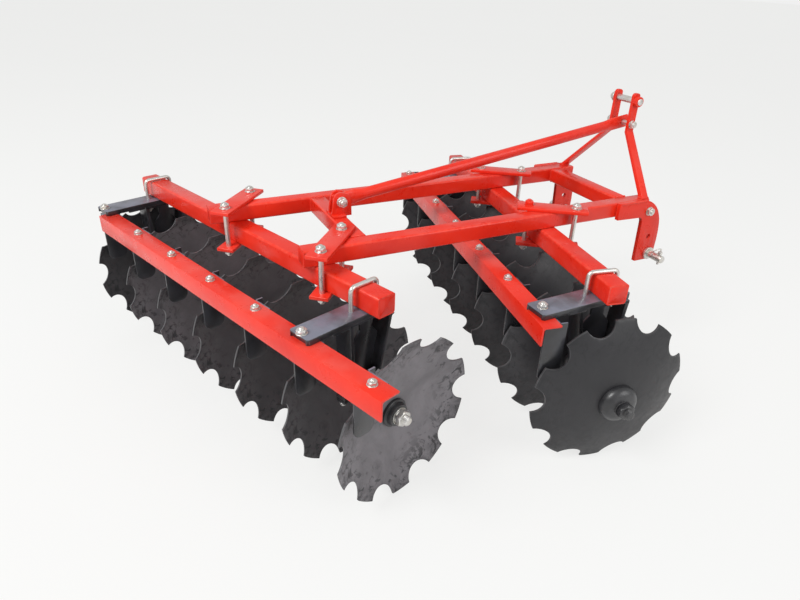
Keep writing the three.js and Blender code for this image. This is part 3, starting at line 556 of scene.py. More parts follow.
def red_enamel():
    """Sprayed red enamel: orange peel, deeper colour in patches, small chips along the edges, edges
    lightened partly by wear and partly by a painted highlight, and upward faces paled by painted top
    light.
    """
    colours = bpy.context.scene.harrow_colours
    material, tree, shader, place = started("red enamel")
    broad = noise(tree, place, 3.5, 3.0)
    fine = noise(tree, place, 60.0, 6.0, 0.6)
    base = mixed(tree, ranged(tree, broad, 0.35, 0.7), colours.red, colours.deep_red)
    base = mixed(tree, ranged(tree, fine, 0.52, 0.8, 0.0, 0.35), base, BRIGHT_RED)
    # Narrow edges are lightened towards pale red: partly rubbed paint, partly a painted highlight.
    edge = stored(tree, "edge")
    worn = maths(tree, "MULTIPLY", edge.outputs["Fac"], ranged(tree, fine, 0.40, 0.62))
    base = mixed(tree, maths(tree, "MULTIPLY", worn, 0.25), base, RUBBED_RED_AND_HIGHLIGHT)
    chips = noise(tree, place, 210.0, 2.0)
    chip = maths(tree, "MULTIPLY", edge.outputs["Fac"], ranged(tree, chips, 0.71, 0.76))
    base = mixed(tree, maths(tree, "MULTIPLY", chip, 0.45), base, CHIP_BROWN)
    # Painted top light: faces that look up are paled towards pink, in patches.
    base = mixed(tree, painted_top_light_share(tree, place, 0.10), base, PAINTED_TOP_PINK)
    tree.links.new(base, shader.inputs["Base Color"])
    rough = ranged(tree, noise(tree, place, 22.0, 5.0), 0.3, 0.75, 0.24, 0.40)
    tree.links.new(maths(tree, "ADD", rough, maths(tree, "MULTIPLY", chip, 0.3)),
                   shader.inputs["Roughness"])
    shader.inputs["Specular IOR Level"].default_value = 0.30
    shader.inputs["Coat Weight"].default_value = 0.18
    shader.inputs["Coat Roughness"].default_value = 0.12
    peel = noise(tree, place, 420.0, 3.0)
    waves = noise(tree, place, 14.0, 2.0)
    bumped(tree, shader, (waves, 0.25, 0.0015), (peel, 0.12, 0.0006), (chip, -0.25, 0.0004))
    return material


def black_enamel():
    """Satin black paint rubbed grey along the edges, with a painted cold sky sheen on faces that look up.
    """
    colours = bpy.context.scene.harrow_colours
    material, tree, shader, place = started("black enamel")
    patches = noise(tree, place, 11.0, 5.0)
    fine = noise(tree, place, 75.0, 6.0, 0.65)
    base = mixed(tree, ranged(tree, patches, 0.4, 0.7), colours.black, COLD_BLACK)
    edge = stored(tree, "edge")
    worn = maths(tree, "MULTIPLY", edge.outputs["Fac"], ranged(tree, fine, 0.48, 0.62))
    base = mixed(tree, maths(tree, "MULTIPLY", worn, 0.5), base, RUBBED_GREY)
    # Painted sky sheen: faces that look up are paled towards blue grey, in patches.
    base = mixed(tree, painted_top_light_share(tree, place, 0.62, 0.22, 0.55), base, PAINTED_SKY_SHEEN)
    tree.links.new(base, shader.inputs["Base Color"])
    tree.links.new(ranged(tree, patches, 0.3, 0.75, 0.26, 0.46), shader.inputs["Roughness"])
    shader.inputs["Coat Weight"].default_value = 0.5
    shader.inputs["Coat Roughness"].default_value = 0.22
    bumped(tree, shader, (noise(tree, place, 16.0, 3.0), 0.3, 0.0015), (fine, 0.16, 0.0006))
    return material


def cast_black():
    """Black painted castings with a sandy skin."""
    colours = bpy.context.scene.harrow_colours
    material, tree, shader, place = started("cast black")
    grain = noise(tree, place, 260.0, 6.0, 0.7)
    patches = noise(tree, place, 16.0, 4.0)
    base = mixed(tree, ranged(tree, patches, 0.4, 0.7), colours.black, CAST_SKIN)
    edge = stored(tree, "edge")
    worn = maths(tree, "MULTIPLY", edge.outputs["Fac"], ranged(tree, grain, 0.45, 0.6))
    base = mixed(tree, maths(tree, "MULTIPLY", worn, 0.35), base, CAST_RUBBED)
    tree.links.new(base, shader.inputs["Base Color"])
    tree.links.new(ranged(tree, grain, 0.3, 0.75, 0.30, 0.50), shader.inputs["Roughness"])
    shader.inputs["Coat Weight"].default_value = 0.35
    shader.inputs["Coat Roughness"].default_value = 0.25
    bumped(tree, shader, (patches, 0.25, 0.002), (grain, 0.35, 0.0008))
    return material


def zinc_plate():
    """Bright zinc plating: faint crystal patches, a yellow tinge and dull handling marks."""
    colours = bpy.context.scene.harrow_colours
    material, tree, shader, place = started("zinc plate")
    cells = wired(tree, "ShaderNodeTexVoronoi", Vector=place, Scale=260.0)
    tint = noise(tree, place, 40.0, 4.0)
    base = mixed(tree, ranged(tree, tint, 0.35, 0.75), colours.zinc, ZINC_YELLOW)
    base = mixed(tree, ranged(tree, cells.outputs["Distance"], 0.1, 0.6, 0.0, 0.22), base,
                 ZINC_CRYSTAL)
    tree.links.new(base, shader.inputs["Base Color"])
    shader.inputs["Metallic"].default_value = 0.85
    dull = noise(tree, place, 90.0, 5.0)
    tree.links.new(ranged(tree, dull, 0.3, 0.75, 0.24, 0.48), shader.inputs["Roughness"])
    bumped(tree, shader, (dull, 0.15, 0.0005), (cells.outputs["Distance"], 0.08, 0.0004))
    return material


def disc_steel():
    """Dark painted disc steel: rubbed pale in cloudy patches by a tone per disc that is partly painted
    light, scratched by soil, its edge lightened partly as ground bare steel and partly as a painted
    highlight.

    It reads each disc's own place, stored on the mesh, so that rings and edge follow the disc.
    """
    colours = bpy.context.scene.harrow_colours
    s = sizes()
    material, tree, shader, place = started("disc steel")
    own = stored(tree, "disc_place")
    tone = stored(tree, "tone")
    parts = wired(tree, "ShaderNodeSeparateXYZ", Vector=own.outputs["Vector"])
    x, z = parts.outputs["X"], parts.outputs["Z"]
    radius = maths(tree, "SQRT", maths(tree, "ADD", maths(tree, "MULTIPLY", x, x),
                                       maths(tree, "MULTIPLY", z, z)))
    step = math.tau / s.notch_count
    turn = maths(tree, "DIVIDE", maths(tree, "ARCTAN2", x, z), step)
    side = maths(tree, "MULTIPLY", maths(tree, "SUBTRACT", maths(tree, "FRACT", turn), 0.5), step)
    notch_centre = s.disc_radius - s.notch_depth + s.notch_radius
    along = maths(tree, "SUBTRACT", maths(tree, "MULTIPLY", radius, maths(tree, "COSINE", side)),
                  notch_centre)
    off = maths(tree, "MULTIPLY", radius, maths(tree, "SINE", side))
    hollow = maths(tree, "SQRT", maths(tree, "ADD", maths(tree, "MULTIPLY", along, along),
                                       maths(tree, "MULTIPLY", off, off)))
    inside = maths(tree, "MINIMUM", maths(tree, "SUBTRACT", s.disc_radius, radius),
                   maths(tree, "SUBTRACT", hollow, s.notch_radius))
    spots = own.outputs["Vector"]
    wobble = noise(tree, spots, 55.0, 4.0)
    edge = ranged(tree, maths(tree, "SUBTRACT", inside, maths(tree, "MULTIPLY", wobble, 0.0022)),
                  -0.0006, 0.0006, 1.0, 0.0)
    cloud = noise(tree, spots, 7.0, 6.0, 0.62, 0.6)
    streak = noise(tree, spots, 24.0, 6.0, 0.7, 1.4)
    # How pale each disc is rubbed comes from its tone, which is partly painted light.
    rubbed = maths(tree, "MULTIPLY", tone.outputs["Fac"], ranged(tree, cloud, 0.32, 0.62, 0.62, 1.0))
    base = mixed(tree, rubbed, colours.disc_dark, colours.disc_pale)
    marks = maths(tree, "MULTIPLY", ranged(tree, streak, 0.60, 0.70), 0.55)
    base = mixed(tree, marks, base, colours.disc_dark)
    blot = maths(tree, "MULTIPLY", ranged(tree, noise(tree, spots, 19.0, 7.0, 0.68, 1.6), 0.52, 0.58),
                 ranged(tree, radius, s.disc_radius - 0.12, s.disc_radius - 0.04, 0.0, 0.8))
    base = mixed(tree, blot, base, colours.disc_dark)
    rim = ranged(tree, radius, s.disc_radius - 0.05, s.disc_radius - 0.012, 0.0, 0.55)
    base = mixed(tree, maths(tree, "MULTIPLY", rim, ranged(tree, streak, 0.38, 0.55)), base,
                 colours.disc_dark)
    rings = wired(tree, "ShaderNodeTexNoise", set_noise_dimensions="1D", Scale=900.0, Detail=3.0)
    tree.links.new(radius, rings.inputs["W"])
    scuff = maths(tree, "MULTIPLY", ranged(tree, rings.outputs["Fac"], 0.58, 0.7),
                  ranged(tree, cloud, 0.5, 0.65))
    base = mixed(tree, maths(tree, "MULTIPLY", scuff, 0.18), base, colours.edge_steel_and_highlight)
    # The rim's lightening is partly ground bare steel and partly a painted highlight where the edge
    # catches light.
    ground = maths(tree, "MULTIPLY", edge, ranged(tree, cloud, 0.36, 0.62, 0.05, 1.0))
    base = mixed(tree, ground, base, colours.edge_steel_and_highlight)
    tree.links.new(base, shader.inputs["Base Color"])
    tree.links.new(maths(tree, "MULTIPLY", ground, 0.5), shader.inputs["Metallic"])
    tree.links.new(ranged(tree, streak, 0.3, 0.75, 0.32, 0.55), shader.inputs["Roughness"])
    shader.inputs["Specular IOR Level"].default_value = 0.38
    shader.inputs["Coat Weight"].default_value = 0.12
    shader.inputs["Coat Roughness"].default_value = 0.3
    bumped(tree, shader, (cloud, 0.3, 0.004), (streak, 0.18, 0.0012),
           (rings.outputs["Fac"], 0.05, 0.0004))
    return material


def finish_of(name):
    """The material of that name, made the first time it is wanted."""
    makers = {"red enamel": red_enamel, "black enamel": black_enamel, "cast black": cast_black,
              "zinc plate": zinc_plate, "disc steel": disc_steel}
    return bpy.data.materials.get(name) or makers[name]()


# ---------- discs and their shafts ----------
TO_Y, TO_RIGHT = Matrix.Rotation(-math.pi / 2, 4, "X"), Matrix.Rotation(math.pi / 2, 4, "X")
UPSIDE_DOWN = Matrix.Rotation(math.pi, 4, "X")
HALF_TURN = Matrix.Rotation(math.pi, 4, "Z")
HOLLOW = {"front": 1, "rear": -1}
# Per-disc tone of rubbed paint; the fifth and sixth rear discs are set pale to make up for the shade they
# stand in, which is painted light.
DISC_TONES_AND_LIGHT = {"front": (0.05, 0.16, 0.12, 0.16, 0.16, 0.14, 0.16),
              "rear": (1.0, 0.50, 0.42, 0.60, 1.0, 0.95, 0.30)}


def dish(radius):
    """Depth of the dish at a distance from its middle."""
    return sizes().dish_radius - math.sqrt(sizes().dish_radius ** 2 - radius ** 2)


def hub_places(which):
    """Where each disc's middle lies along the gang."""
    s = sizes()
    return [n * s.disc_spacing - HOLLOW[which] * dish(s.disc_radius) for n in range(s.disc_count)]


def upright(y, out):
    """Turns a piece drawn on Z to lie on the axle at y, pointing to +Y or -Y."""
    turn = TO_Y if out > 0 else TO_RIGHT
    return Matrix.Translation((0, y, sizes().disc_radius)) @ turn


def notched_disc():
    """One disc on the Y axis, its hollow side towards +Y and its middle at the origin."""
    s = sizes()
    reach = s.disc_radius + 0.008
    clear()
    bpy.ops.mesh.primitive_uv_sphere_add(segments=128, ring_count=150, radius=s.dish_radius,
                                         location=(0, 0, s.dish_radius))
    disc = taken("notched_disc")
    bpy.ops.object.mode_set(mode="EDIT")
    bpy.ops.mesh.select_all(action="SELECT")
    bpy.ops.mesh.bisect(plane_co=(0, 0, dish(reach)), plane_no=(0, 0, 1), clear_outer=True)
    bpy.ops.object.mode_set(mode="OBJECT")
    modified(disc, "SOLIDIFY", thickness=s.disc_thickness, offset=1.0, use_even_offset=True)
    blank = rod("blank", (0, 0, -0.1), (0, 0, 0.2), s.disc_radius, 180, edge=0)
    step = math.tau / s.notch_count
    centre = s.disc_radius - s.notch_depth + s.notch_radius
    for n in range(s.notch_count):
        spot = (centre * math.sin((n + 0.5) * step), centre * math.cos((n + 0.5) * step))
        carved(blank, rod("notch", (*spot, -0.12), (*spot, 0.22), s.notch_radius, 64, edge=0))
    half = s.shaft_side / 2 + 0.0009
    carved(blank, block("eye", (-half, -half, -0.12), (half, half, 0.22), edge=0))
    carved(disc, blank, "INTERSECT")
    softened(disc, 0.0007, 2, 50)
    moved(disc, TO_Y)
    spots = disc.data.attributes.new("disc_place", "FLOAT_VECTOR", "POINT")
    for corner, spot in zip(disc.data.vertices, spots.data):
        spot.vector = corner.co
    return disc


class HARROW_OT_discs(bpy.types.Operator):
    """Presses and notches one disc and copies it along both gangs"""

    bl_idname = "harrow.discs"
    bl_label = "Notched Discs"

    def execute(self, context):
        s = sizes()
        pattern = notched_disc()
        steel = finish_of("disc steel")
        for which, hollow in HOLLOW.items():
            gang = gang_place(which)
            facing = Matrix.Rotation(hollow * s.tooth_turn, 4, "Y")
            if hollow < 0:
                facing = HALF_TURN @ facing
            for n, hub in enumerate(hub_places(which)):
                lift = Matrix.Translation((0, hub, s.disc_radius))
                disc = copied(pattern, f"{which}_notched_disc_{n + 1}", gang @ lift @ facing)
                tone = disc.data.attributes.new("tone", "FLOAT", "POINT")
                tone.data.foreach_set("value", [DISC_TONES_AND_LIGHT[which][n]] * len(disc.data.vertices))
                settled(disc, which + "_gang", steel, nodes=[f"{which}_disc_{n + 1}"])
        bpy.data.objects.remove(pattern)
        return {"FINISHED"}


def spool_profile(hollow):
    """From one disc's face to the next, with coned ends and rounded flanges."""
    s = sizes()
    lean = hollow * dish(s.flange_radius)
    low = (0 if hollow > 0 else s.disc_thickness) + lean + SEAT
    high = s.disc_spacing - (s.disc_thickness if hollow > 0 else 0) + lean - SEAT
    r, b = s.flange_radius, s.spool_radius
    return [(0, low - lean), (r - 0.0025, low), (r, low + 0.0025), (r, low + 0.010),
            (r - 0.002, low + 0.0135), (r - 0.006, low + 0.0165), (b + 0.004, low + 0.0205),
            (b + 0.001, low + 0.0255), (b, low + 0.031), (b, high - 0.031), (b + 0.001, high - 0.0255),
            (b + 0.004, high - 0.0205), (r - 0.006, high - 0.0165), (r - 0.002, high - 0.0135),
            (r, high - 0.010), (r, high - 0.0025), (r - 0.0025, high), (0, high - lean)]


SHAFT_INSET, THREAD_RADIUS, THREAD_LENGTH, THREAD_PITCH = 0.018, 0.0145, 0.021, 0.0025


class HARROW_OT_shafts(bpy.types.Operator):
    """Turns the spools and threads them on each gang's square shaft"""

    bl_idname = "harrow.shafts"
    bl_label = "Shafts and Spools"

    def execute(self, context):
        s = sizes()
        for which, hollow in HOLLOW.items():
            gang = gang_place(which)
            node = f"{which}_shaft_and_spools"
            low, high = local_box(node, gang)
            hubs = hub_places(which)
            half = s.shaft_side / 2
            shaft = block(node + "_bar", (-half, low.y + SHAFT_INSET, s.disc_radius - half),
                          (half, high.y - SHAFT_INSET, s.disc_radius + half), 0.001)
            spools = spread(turned("spool", spool_profile(hollow), 40), f"{which}_spools",
                            [upright(hub, 1) for hub in hubs[:-1]])
            ends = [moved(thread("tail", THREAD_RADIUS, 0.0, THREAD_LENGTH, THREAD_PITCH),
                          upright(at, out))
                    for at, out in ((high.y - THREAD_LENGTH, 1), (low.y + THREAD_LENGTH, -1))]
            whole = joined(f"{which}_gang_shaft", [shaft, spools])
            settled(whole, which + "_gang", finish_of("cast black"), gang, [node])
            for side, end in zip(("left", "right"), ends):
                end.name = f"{which}_shaft_thread_{side}"
                domed = side == ("right" if hollow > 0 else "left")
                finish, slot = ("cast black", "cast_black") if domed else ("zinc plate", "zinc")
                settled(end, which + "_gang", finish_of(finish), gang, smooth=25)
        return {"FINISHED"}


def dome(s):
    """Domed washer standing on the bulging face of a disc, drawn along Z."""
    t, r, top = s.disc_thickness + SEAT, s.dome_radius, s.disc_thickness + s.dome_height
    seat = t - dish(r)
    crown = arc((0.026, seat + 0.006), r - 0.026, 0, 62, 7)
    crown = [(x, seat + 0.006 + (z - seat - 0.006) * 0.78) for x, z in crown]
    return turned("dome", [(0, t), (0.046, t - dish(0.046)), (r - 0.001, seat), (r, seat + 0.001),
                           *crown, (0.033, top - 0.0012), (0.028, top), (0, top)], 64)


def collar(s):
    """Stepped clamp washer standing on the hollow face of a disc, drawn along Z."""
    r, top = s.washer_radius, s.washer_height
    return turned("collar", [(0, SEAT), (r - 0.001, 0.0021), (r, 0.0031), (r, 0.0105),
                             (r - 0.0015, 0.012), (r - 0.0065, 0.0125), (r - 0.0075, 0.0135),
                             (r - 0.0085, 0.0225), (r - 0.0105, top), (0, top)], 64)


class HARROW_OT_end_washers(bpy.types.Operator):
    """Turns the washers and nuts at the ends of the gangs"""

    bl_idname = "harrow.end_washers"
    bl_label = "End Washers and Nuts"

    def execute(self, context):
        s = sizes()
        for which, hollow in HOLLOW.items():
            gang = gang_place(which)
            hubs = hub_places(which)
            dome_side, dome_hub = ("right", hubs[0]) if hollow > 0 else ("left", hubs[-1])
            collar_side, collar_hub = ("left", hubs[-1]) if hollow > 0 else ("right", hubs[0])
            body = which + "_gang"
            domed = moved(dome(s), upright(dome_hub, -hollow))
            domed.name = f"{which}_dome_{dome_side}"
            settled(domed, body, finish_of("cast black"), gang,
                    [f"{which}_dome_washer_{dome_side}"], 30)
            stepped = moved(collar(s), upright(collar_hub, hollow))
            stepped.name = f"{which}_collar_{collar_side}"
            settled(stepped, body, finish_of("cast black"), gang,
                    [f"{which}_clamp_washer_{collar_side}"], 30)
            for side, hub, out, base, finish, slot in (
                    (dome_side, dome_hub, -hollow, s.disc_thickness + s.dome_height, "cast black",
                     "cast_black"),
                    (collar_side, collar_hub, hollow, s.washer_height, "zinc plate", "zinc")):
                ring = washer("ring", 0.0265, 0.0155, 0.0035)
                nut = moved(hexagon("nut", 0.046, 0.0204), Matrix.Translation((0, 0, 0.0035)))
                nut = joined(f"{which}_shaft_nut_{side}", [ring, nut])
                moved(nut, upright(hub, out) @ Matrix.Translation((0, 0, base)))
                settled(nut, body, finish_of(finish), gang, smooth=30)
        return {"FINISHED"}


# ---------- beams, scraper bars, arms, hangers and U-bolts ----------
# Each bar's start and length, and how far a blade's bolt stands from its disc's rim.
LAYOUT = {"front": {"bar": (-0.013, 1.433), "bolt": 0.048},
          "rear": {"bar": (-0.127, 1.505), "bolt": 0.066}}
SIDES = ("right", "left")
UNDER_ARMS = {"front": (0, 5), "rear": (1, 6)}  # blades whose bolt an arm covers
HANGER_REACH, HANGER_HALF = 0.084, 0.032
ARM_TAILS = {"front": (0.003, 12), "rear": (0.018, 0)}  # step in from the bar's edge, turn in degrees
ARM_HALF = 0.040


def gang_layout(which):
    """Heights and fore-and-aft places of what hangs on a gang beam, in the gang's frame."""
    s = sizes()
    gang = gang_place(which)
    low, high = local_box(f"{which}_gang_beam", gang)
    lead = (low.x + high.x) / 2
    found = {"gang": gang, "low": low, "high": high, "lead": lead}
    found["outer"] = lead - s.bar_from_beam
    found["arm_top"] = low.z - SEAT
    found["arm_bottom"] = found["arm_top"] - s.arm_plate
    found["bar_top"] = found["arm_bottom"] - SEAT
    found["hanger_top"] = found["arm_bottom"] - SEAT
    boxes = {side: local_box(f"{which}_bearing_hanger_{side}", gang) for side in SIDES}
    found["at"] = {side: (box[0].y + box[1].y) / 2 for side, box in boxes.items()}
    return found


class HARROW_OT_beams(bpy.types.Operator):
    """Makes the two gang beams as capped square tubes"""

    bl_idname = "harrow.beams"
    bl_label = "Gang Beams"

    def execute(self, context):
        for which in HOLLOW:
            g = gang_layout(which)
            beam = tube(f"{which}_beam_tube", g["low"], g["high"], 1, sizes().beam_corner)
            settled(beam, "frame", finish_of("red enamel"), g["gang"],
                    [f"{which}_gang_beam"])
        return {"FINISHED"}


class HARROW_OT_scraper_bars(bpy.types.Operator):
    """Makes the scraper bars with their blades and bolts"""

    bl_idname = "harrow.scraper_bars"
    bl_label = "Scraper Bars"

    def execute(self, context):
        s = sizes()
        t, w = s.bar_thickness, s.bar_side
        for which, hollow in HOLLOW.items():
            g = gang_layout(which)
            x, top = g["outer"], g["bar_top"]
            start, length = LAYOUT[which]["bar"]
            end = start + length
            fillet = arc((x + t + 0.006, top - t - 0.006), 0.006, 90, 180, 5)
            section = [(x, top), (x + w, top), (x + w, top - t + 0.0025), (x + w - 0.0025, top - t),
                       *fillet, (x + t, top - w + 0.0025), (x + t - 0.0025, top - w), (x, top - w)]
            iron = plate(f"{which}_angle_iron", [(a, start, c) for a, c in section], (0, length, 0),
                         0.001)
            settled(iron, "frame", finish_of("red enamel"), g["gang"],
                    [f"{which}_scraper_bar"])
            under = top - t - SEAT
            x0 = x + t + 0.015
            x1 = x0 + s.blade_width
            foot = under - s.blade_drop
            outline = [(x0, under), *arc((x0 + 0.026, foot + 0.026), 0.026, 180, 270, 7),
                       *arc((x1 - 0.026, foot + 0.026), 0.026, 270, 360, 7), (x1, under)]
            blades, spots = [], []
            for n in range(s.disc_count):
                rim = n * s.disc_spacing
                bolt = min(rim + hollow * LAYOUT[which]["bolt"], end - 0.030)
                near, far = sorted((rim + hollow * 0.008, rim + hollow * 0.014))
                blades.append(plate("blade", [(a, near, c) for a, c in outline],
                                    (0, far - near, 0), 0.0012, 2))
                blades.append(block("tab", (x0, min(near, bolt - 0.016), under - 0.006),
                                    (x + w + 0.010, max(far, bolt + 0.016), under), 0.0012))
                if n not in UNDER_ARMS[which]:
                    spots.append(Matrix.Translation((x + w / 2, bolt, top)))
            whole = joined(f"{which}_scrapers", blades)
            settled(whole, "frame", finish_of("black enamel"), g["gang"])
            bolts = spread(stud_end("bolt", *SCRAPER_BOLT), f"{which}_scraper_bolts",
                           spots)
            settled(bolts, "frame", finish_of("zinc plate"), g["gang"], smooth=28)
        return {"FINISHED"}


class HARROW_OT_arms(bpy.types.Operator):
    """Makes the black arms that carry the scraper bars"""

    bl_idname = "harrow.arms"
    bl_label = "Bracket Arms"

    def execute(self, context):
        s = sizes()
        for which, (spare, degrees) in ARM_TAILS.items():
            g = gang_layout(which)
            tail, nose = g["outer"] + spare, g["lead"] + HANGER_REACH
            z = g["arm_bottom"]
            for side in SIDES:
                at, cut = g["at"][side], 0.006
                a, b = at - ARM_HALF, at + ARM_HALF
                outline = [(tail + cut, a, z), (nose - cut, a, z), (nose, a + cut, z),
                           (nose, b - cut, z), (nose - cut, b, z), (tail + cut, b, z),
                           (tail, b - cut, z), (tail, a + cut, z)]
                slot = block("slot", (tail - 0.01, a + 0.010, z - 0.01),
                             (tail + 0.004, b - 0.010, z + s.arm_plate - 0.006), 0)
                parts = [plate("arm", outline, (0, 0, s.arm_plate), 0.0016, 3, [slot])]
                lip = g["outer"] + s.bar_thickness + 0.095
                for y in (a, b - 0.008):
                    parts.append(block("lip", (lip, y, z - 0.006),
                                       (g["lead"] - 0.088, y + 0.008, z + 0.004), 0.002, 3))
                arm = joined(f"{which}_arm_{side}", parts)
                pivot = Matrix.Translation((g["lead"], at, 0))
                place = g["gang"] @ pivot @ Matrix.Rotation(math.radians(degrees), 4, "Z") @ \
                    pivot.inverted()
                settled(arm, "frame", finish_of("black enamel"), place,
                        [f"{which}_bracket_arm_{side}"])
                stud = stud_end(f"{which}_arm_bolt_{side}", *ARM_BOLT, g["arm_top"])
                spot = Matrix.Translation((g["outer"] + s.bar_side / 2, at, 0))
                settled(stud, "frame", finish_of("zinc plate"), place @ spot, smooth=28)
        return {"FINISHED"}


class HARROW_OT_hangers(bpy.types.Operator):
    """Makes the bearing hangers under the gang beams"""

    bl_idname = "harrow.hangers"
    bl_label = "Bearing Hangers"

    def execute(self, context):
        s = sizes()
        t, axle = s.hanger_plate, s.disc_radius
        for which in HOLLOW:
            g = gang_layout(which)
            lead, top = g["lead"], g["hanger_top"]
            for side in SIDES:
                at = g["at"][side]
                a, b = at - HANGER_HALF, at + HANGER_HALF
                parts = [block("seat", (lead - HANGER_REACH, a, top - t), (lead + HANGER_REACH, b, top),
                               0.0016, 3)]
                for way in (-1, 1):
                    out = lead + way * HANGER_REACH
                    foot = way * 0.052
                    outline = [(out, a, top - 0.002), (foot, a, axle), (foot - way * t, a, axle),
                               (out - way * t, a, top - 0.002)]
                    parts.append(plate("leg", outline, (0, b - a, 0), 0.0014))
                web = [(lead - 0.022, top - t + 0.002), (lead + 0.022, top - t + 0.002),
                       (lead + 0.022, top - 0.056), (lead + 0.046, top - 0.085),
                       (0.036, axle + 0.040), (-0.036, axle + 0.040),
                       (lead - 0.046, top - 0.085), (lead - 0.022, top - 0.056)]
                parts.append(plate("web", [(x, at - 0.004, z) for x, z in web], (0, 0.008, 0), 0.001))
                hanger = joined(f"{which}_hanger_{side}", parts)
                settled(hanger, "frame", finish_of("black enamel"), g["gang"],
                        [f"{which}_bearing_hanger_{side}"])
                ring = turned("housing", [
                    (0.0325, 0.001), (0.0345, 0), (0.046, 0), (0.049, 0.0015), (0.052, 0.006),
                    (0.052, 0.042), (0.049, 0.0465), (0.046, 0.048), (0.0345, 0.048), (0.0325, 0.047),
                    (0.0325, 0.001)], 56)
                moved(ring, upright(at - 0.024, 1))
                ears = []
                for way in (-1, 1):
                    x = sorted((way * 0.047, way * 0.074))
                    ears.append(block("ear", (x[0], at - 0.018, axle - 0.012),
                                      (x[1], at + 0.018, axle - 0.001), 0.002, 3))
                    ears.append(block("ear", (x[0], at - 0.018, axle + 0.001),
                                      (x[1], at + 0.018, axle + 0.012), 0.002, 3))
                housing = joined(f"{which}_bearing_{side}", [ring, *ears])
                settled(housing, "frame", finish_of("cast black"), g["gang"])
                spots = [Matrix.Translation((way * 0.0635, at, axle - 0.0121)) @ UPSIDE_DOWN
                         for way in (-1, 1)]
                studs = spread(stud_end("stud", *BEARING_BOLT),
                               f"{which}_bearing_bolts_{side}", spots)
                settled(studs, "frame", finish_of("zinc plate"), g["gang"], smooth=28)
        return {"FINISHED"}


U_STAND_OFF, U_BACK = 0.009, 0.006


def bent_rod(name, leg, top, foot, radius, bend):
    """A U of round bar in the XZ plane: two legs down from a square-shouldered top."""
    clear()
    bpy.ops.mesh.primitive_circle_add(vertices=20, radius=radius, fill_type="NGON",
                                      location=(-leg, 0, foot))
    rod_piece = taken(name)
    bpy.ops.object.mode_set(mode="EDIT")
    bpy.ops.mesh.select_all(action="SELECT")
    rise = {"value": (0, 0, top - bend - foot)}
    bpy.ops.mesh.extrude_region_move(TRANSFORM_OT_translate=rise)
    bpy.ops.mesh.spin(steps=7, angle=-math.pi / 2, center=(-leg + bend, 0, top - bend), axis=(0, 1, 0))
    bpy.ops.mesh.extrude_region_move(TRANSFORM_OT_translate={"value": (2 * (leg - bend), 0, 0)})
    bpy.ops.mesh.spin(steps=7, angle=-math.pi / 2, center=(leg - bend, 0, top - bend), axis=(0, 1, 0))
    bpy.ops.mesh.extrude_region_move(TRANSFORM_OT_translate={"value": (0, 0, foot - top + bend)})
    bpy.ops.mesh.select_all(action="SELECT")
    bpy.ops.mesh.remove_doubles(threshold=0.00002)
    bpy.ops.mesh.normals_make_consistent(inside=False)
    bpy.ops.object.mode_set(mode="OBJECT")
    return rod_piece


class HARROW_OT_u_bolts(bpy.types.Operator):
    """Bends the U-bolts over the gang beams, with their nuts"""

    bl_idname = "harrow.u_bolts"
    bl_label = "U-Bolts"

    def execute(self, context):
        s = sizes()
        for which in HOLLOW:
            g = gang_layout(which)
            leg = (g["high"].x - g["low"].x) / 2 + s.u_bolt_radius + U_STAND_OFF
            crown = g["high"].z + SEAT + s.u_bolt_radius
            nut_top = g["hanger_top"] - s.hanger_plate - SEAT
            for side in SIDES:
                u = bent_rod("u", leg, crown, nut_top - 0.004, s.u_bolt_radius, s.u_bolt_bend)
                parts = [u]
                for way in (-1, 1):
                    down = Matrix.Translation((way * leg, 0, nut_top)) @ UPSIDE_DOWN
                    parts.append(moved(stud_end("end", 0.0235, 0.0085, s.u_bolt_radius, 0.009), down))
                whole = joined(f"{which}_beam_u_bolt_{side}", parts)
                spot = Matrix.Translation((g["lead"] - U_BACK, g["at"][side], 0))
                settled(whole, "frame", finish_of("zinc plate"), g["gang"] @ spot,
                        [f"{which}_u_bolt_{side}"], 30)
        return {"FINISHED"}


# ---------- the welded frame ----------
class HARROW_OT_rails(bpy.types.Operator):
    """Makes the rails and cross tubes, with their welds"""

    bl_idname = "harrow.rails"
    bl_label = "Rails and Cross Tubes"

    def execute(self, context):
        s = sizes()
        red = finish_of("red enamel")
        for node, axis in (("right_rail", 0), ("left_rail", 0), ("front_cross_tube", 1),
                           ("rear_cross_tube", 1)):
            low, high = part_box(node)
            settled(tube(node + "_tube", low, high, axis, s.rail_corner), "frame", red,
                    nodes=[node])
        beads = []
        for node in ("front_cross_tube", "rear_cross_tube"):
            low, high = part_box(node)
            for y in (low.y + 0.001, high.y - 0.001):
                beads.append(weld("weld", (low.x + 0.004, y, high.z - 0.0008),
                                  (high.x - 0.004, y, high.z - 0.0008)))
                beads.append(weld("weld", (low.x + 0.004, y, low.z + 0.0008),
                                  (high.x - 0.004, y, low.z + 0.0008)))
                for x in (low.x + 0.0008, high.x - 0.0008):
                    beads.append(weld("weld", (x, y, low.z + 0.006), (x, y, high.z - 0.006)))
        settled(joined("frame_welds", beads), "frame", red, smooth=60)
        return {"FINISHED"}


CLAMPS = {"front": (0.080, -35), "rear": (0.088, 50)}  # bolt from the middle, turn in degrees
BOLT_RADIUS = 0.008


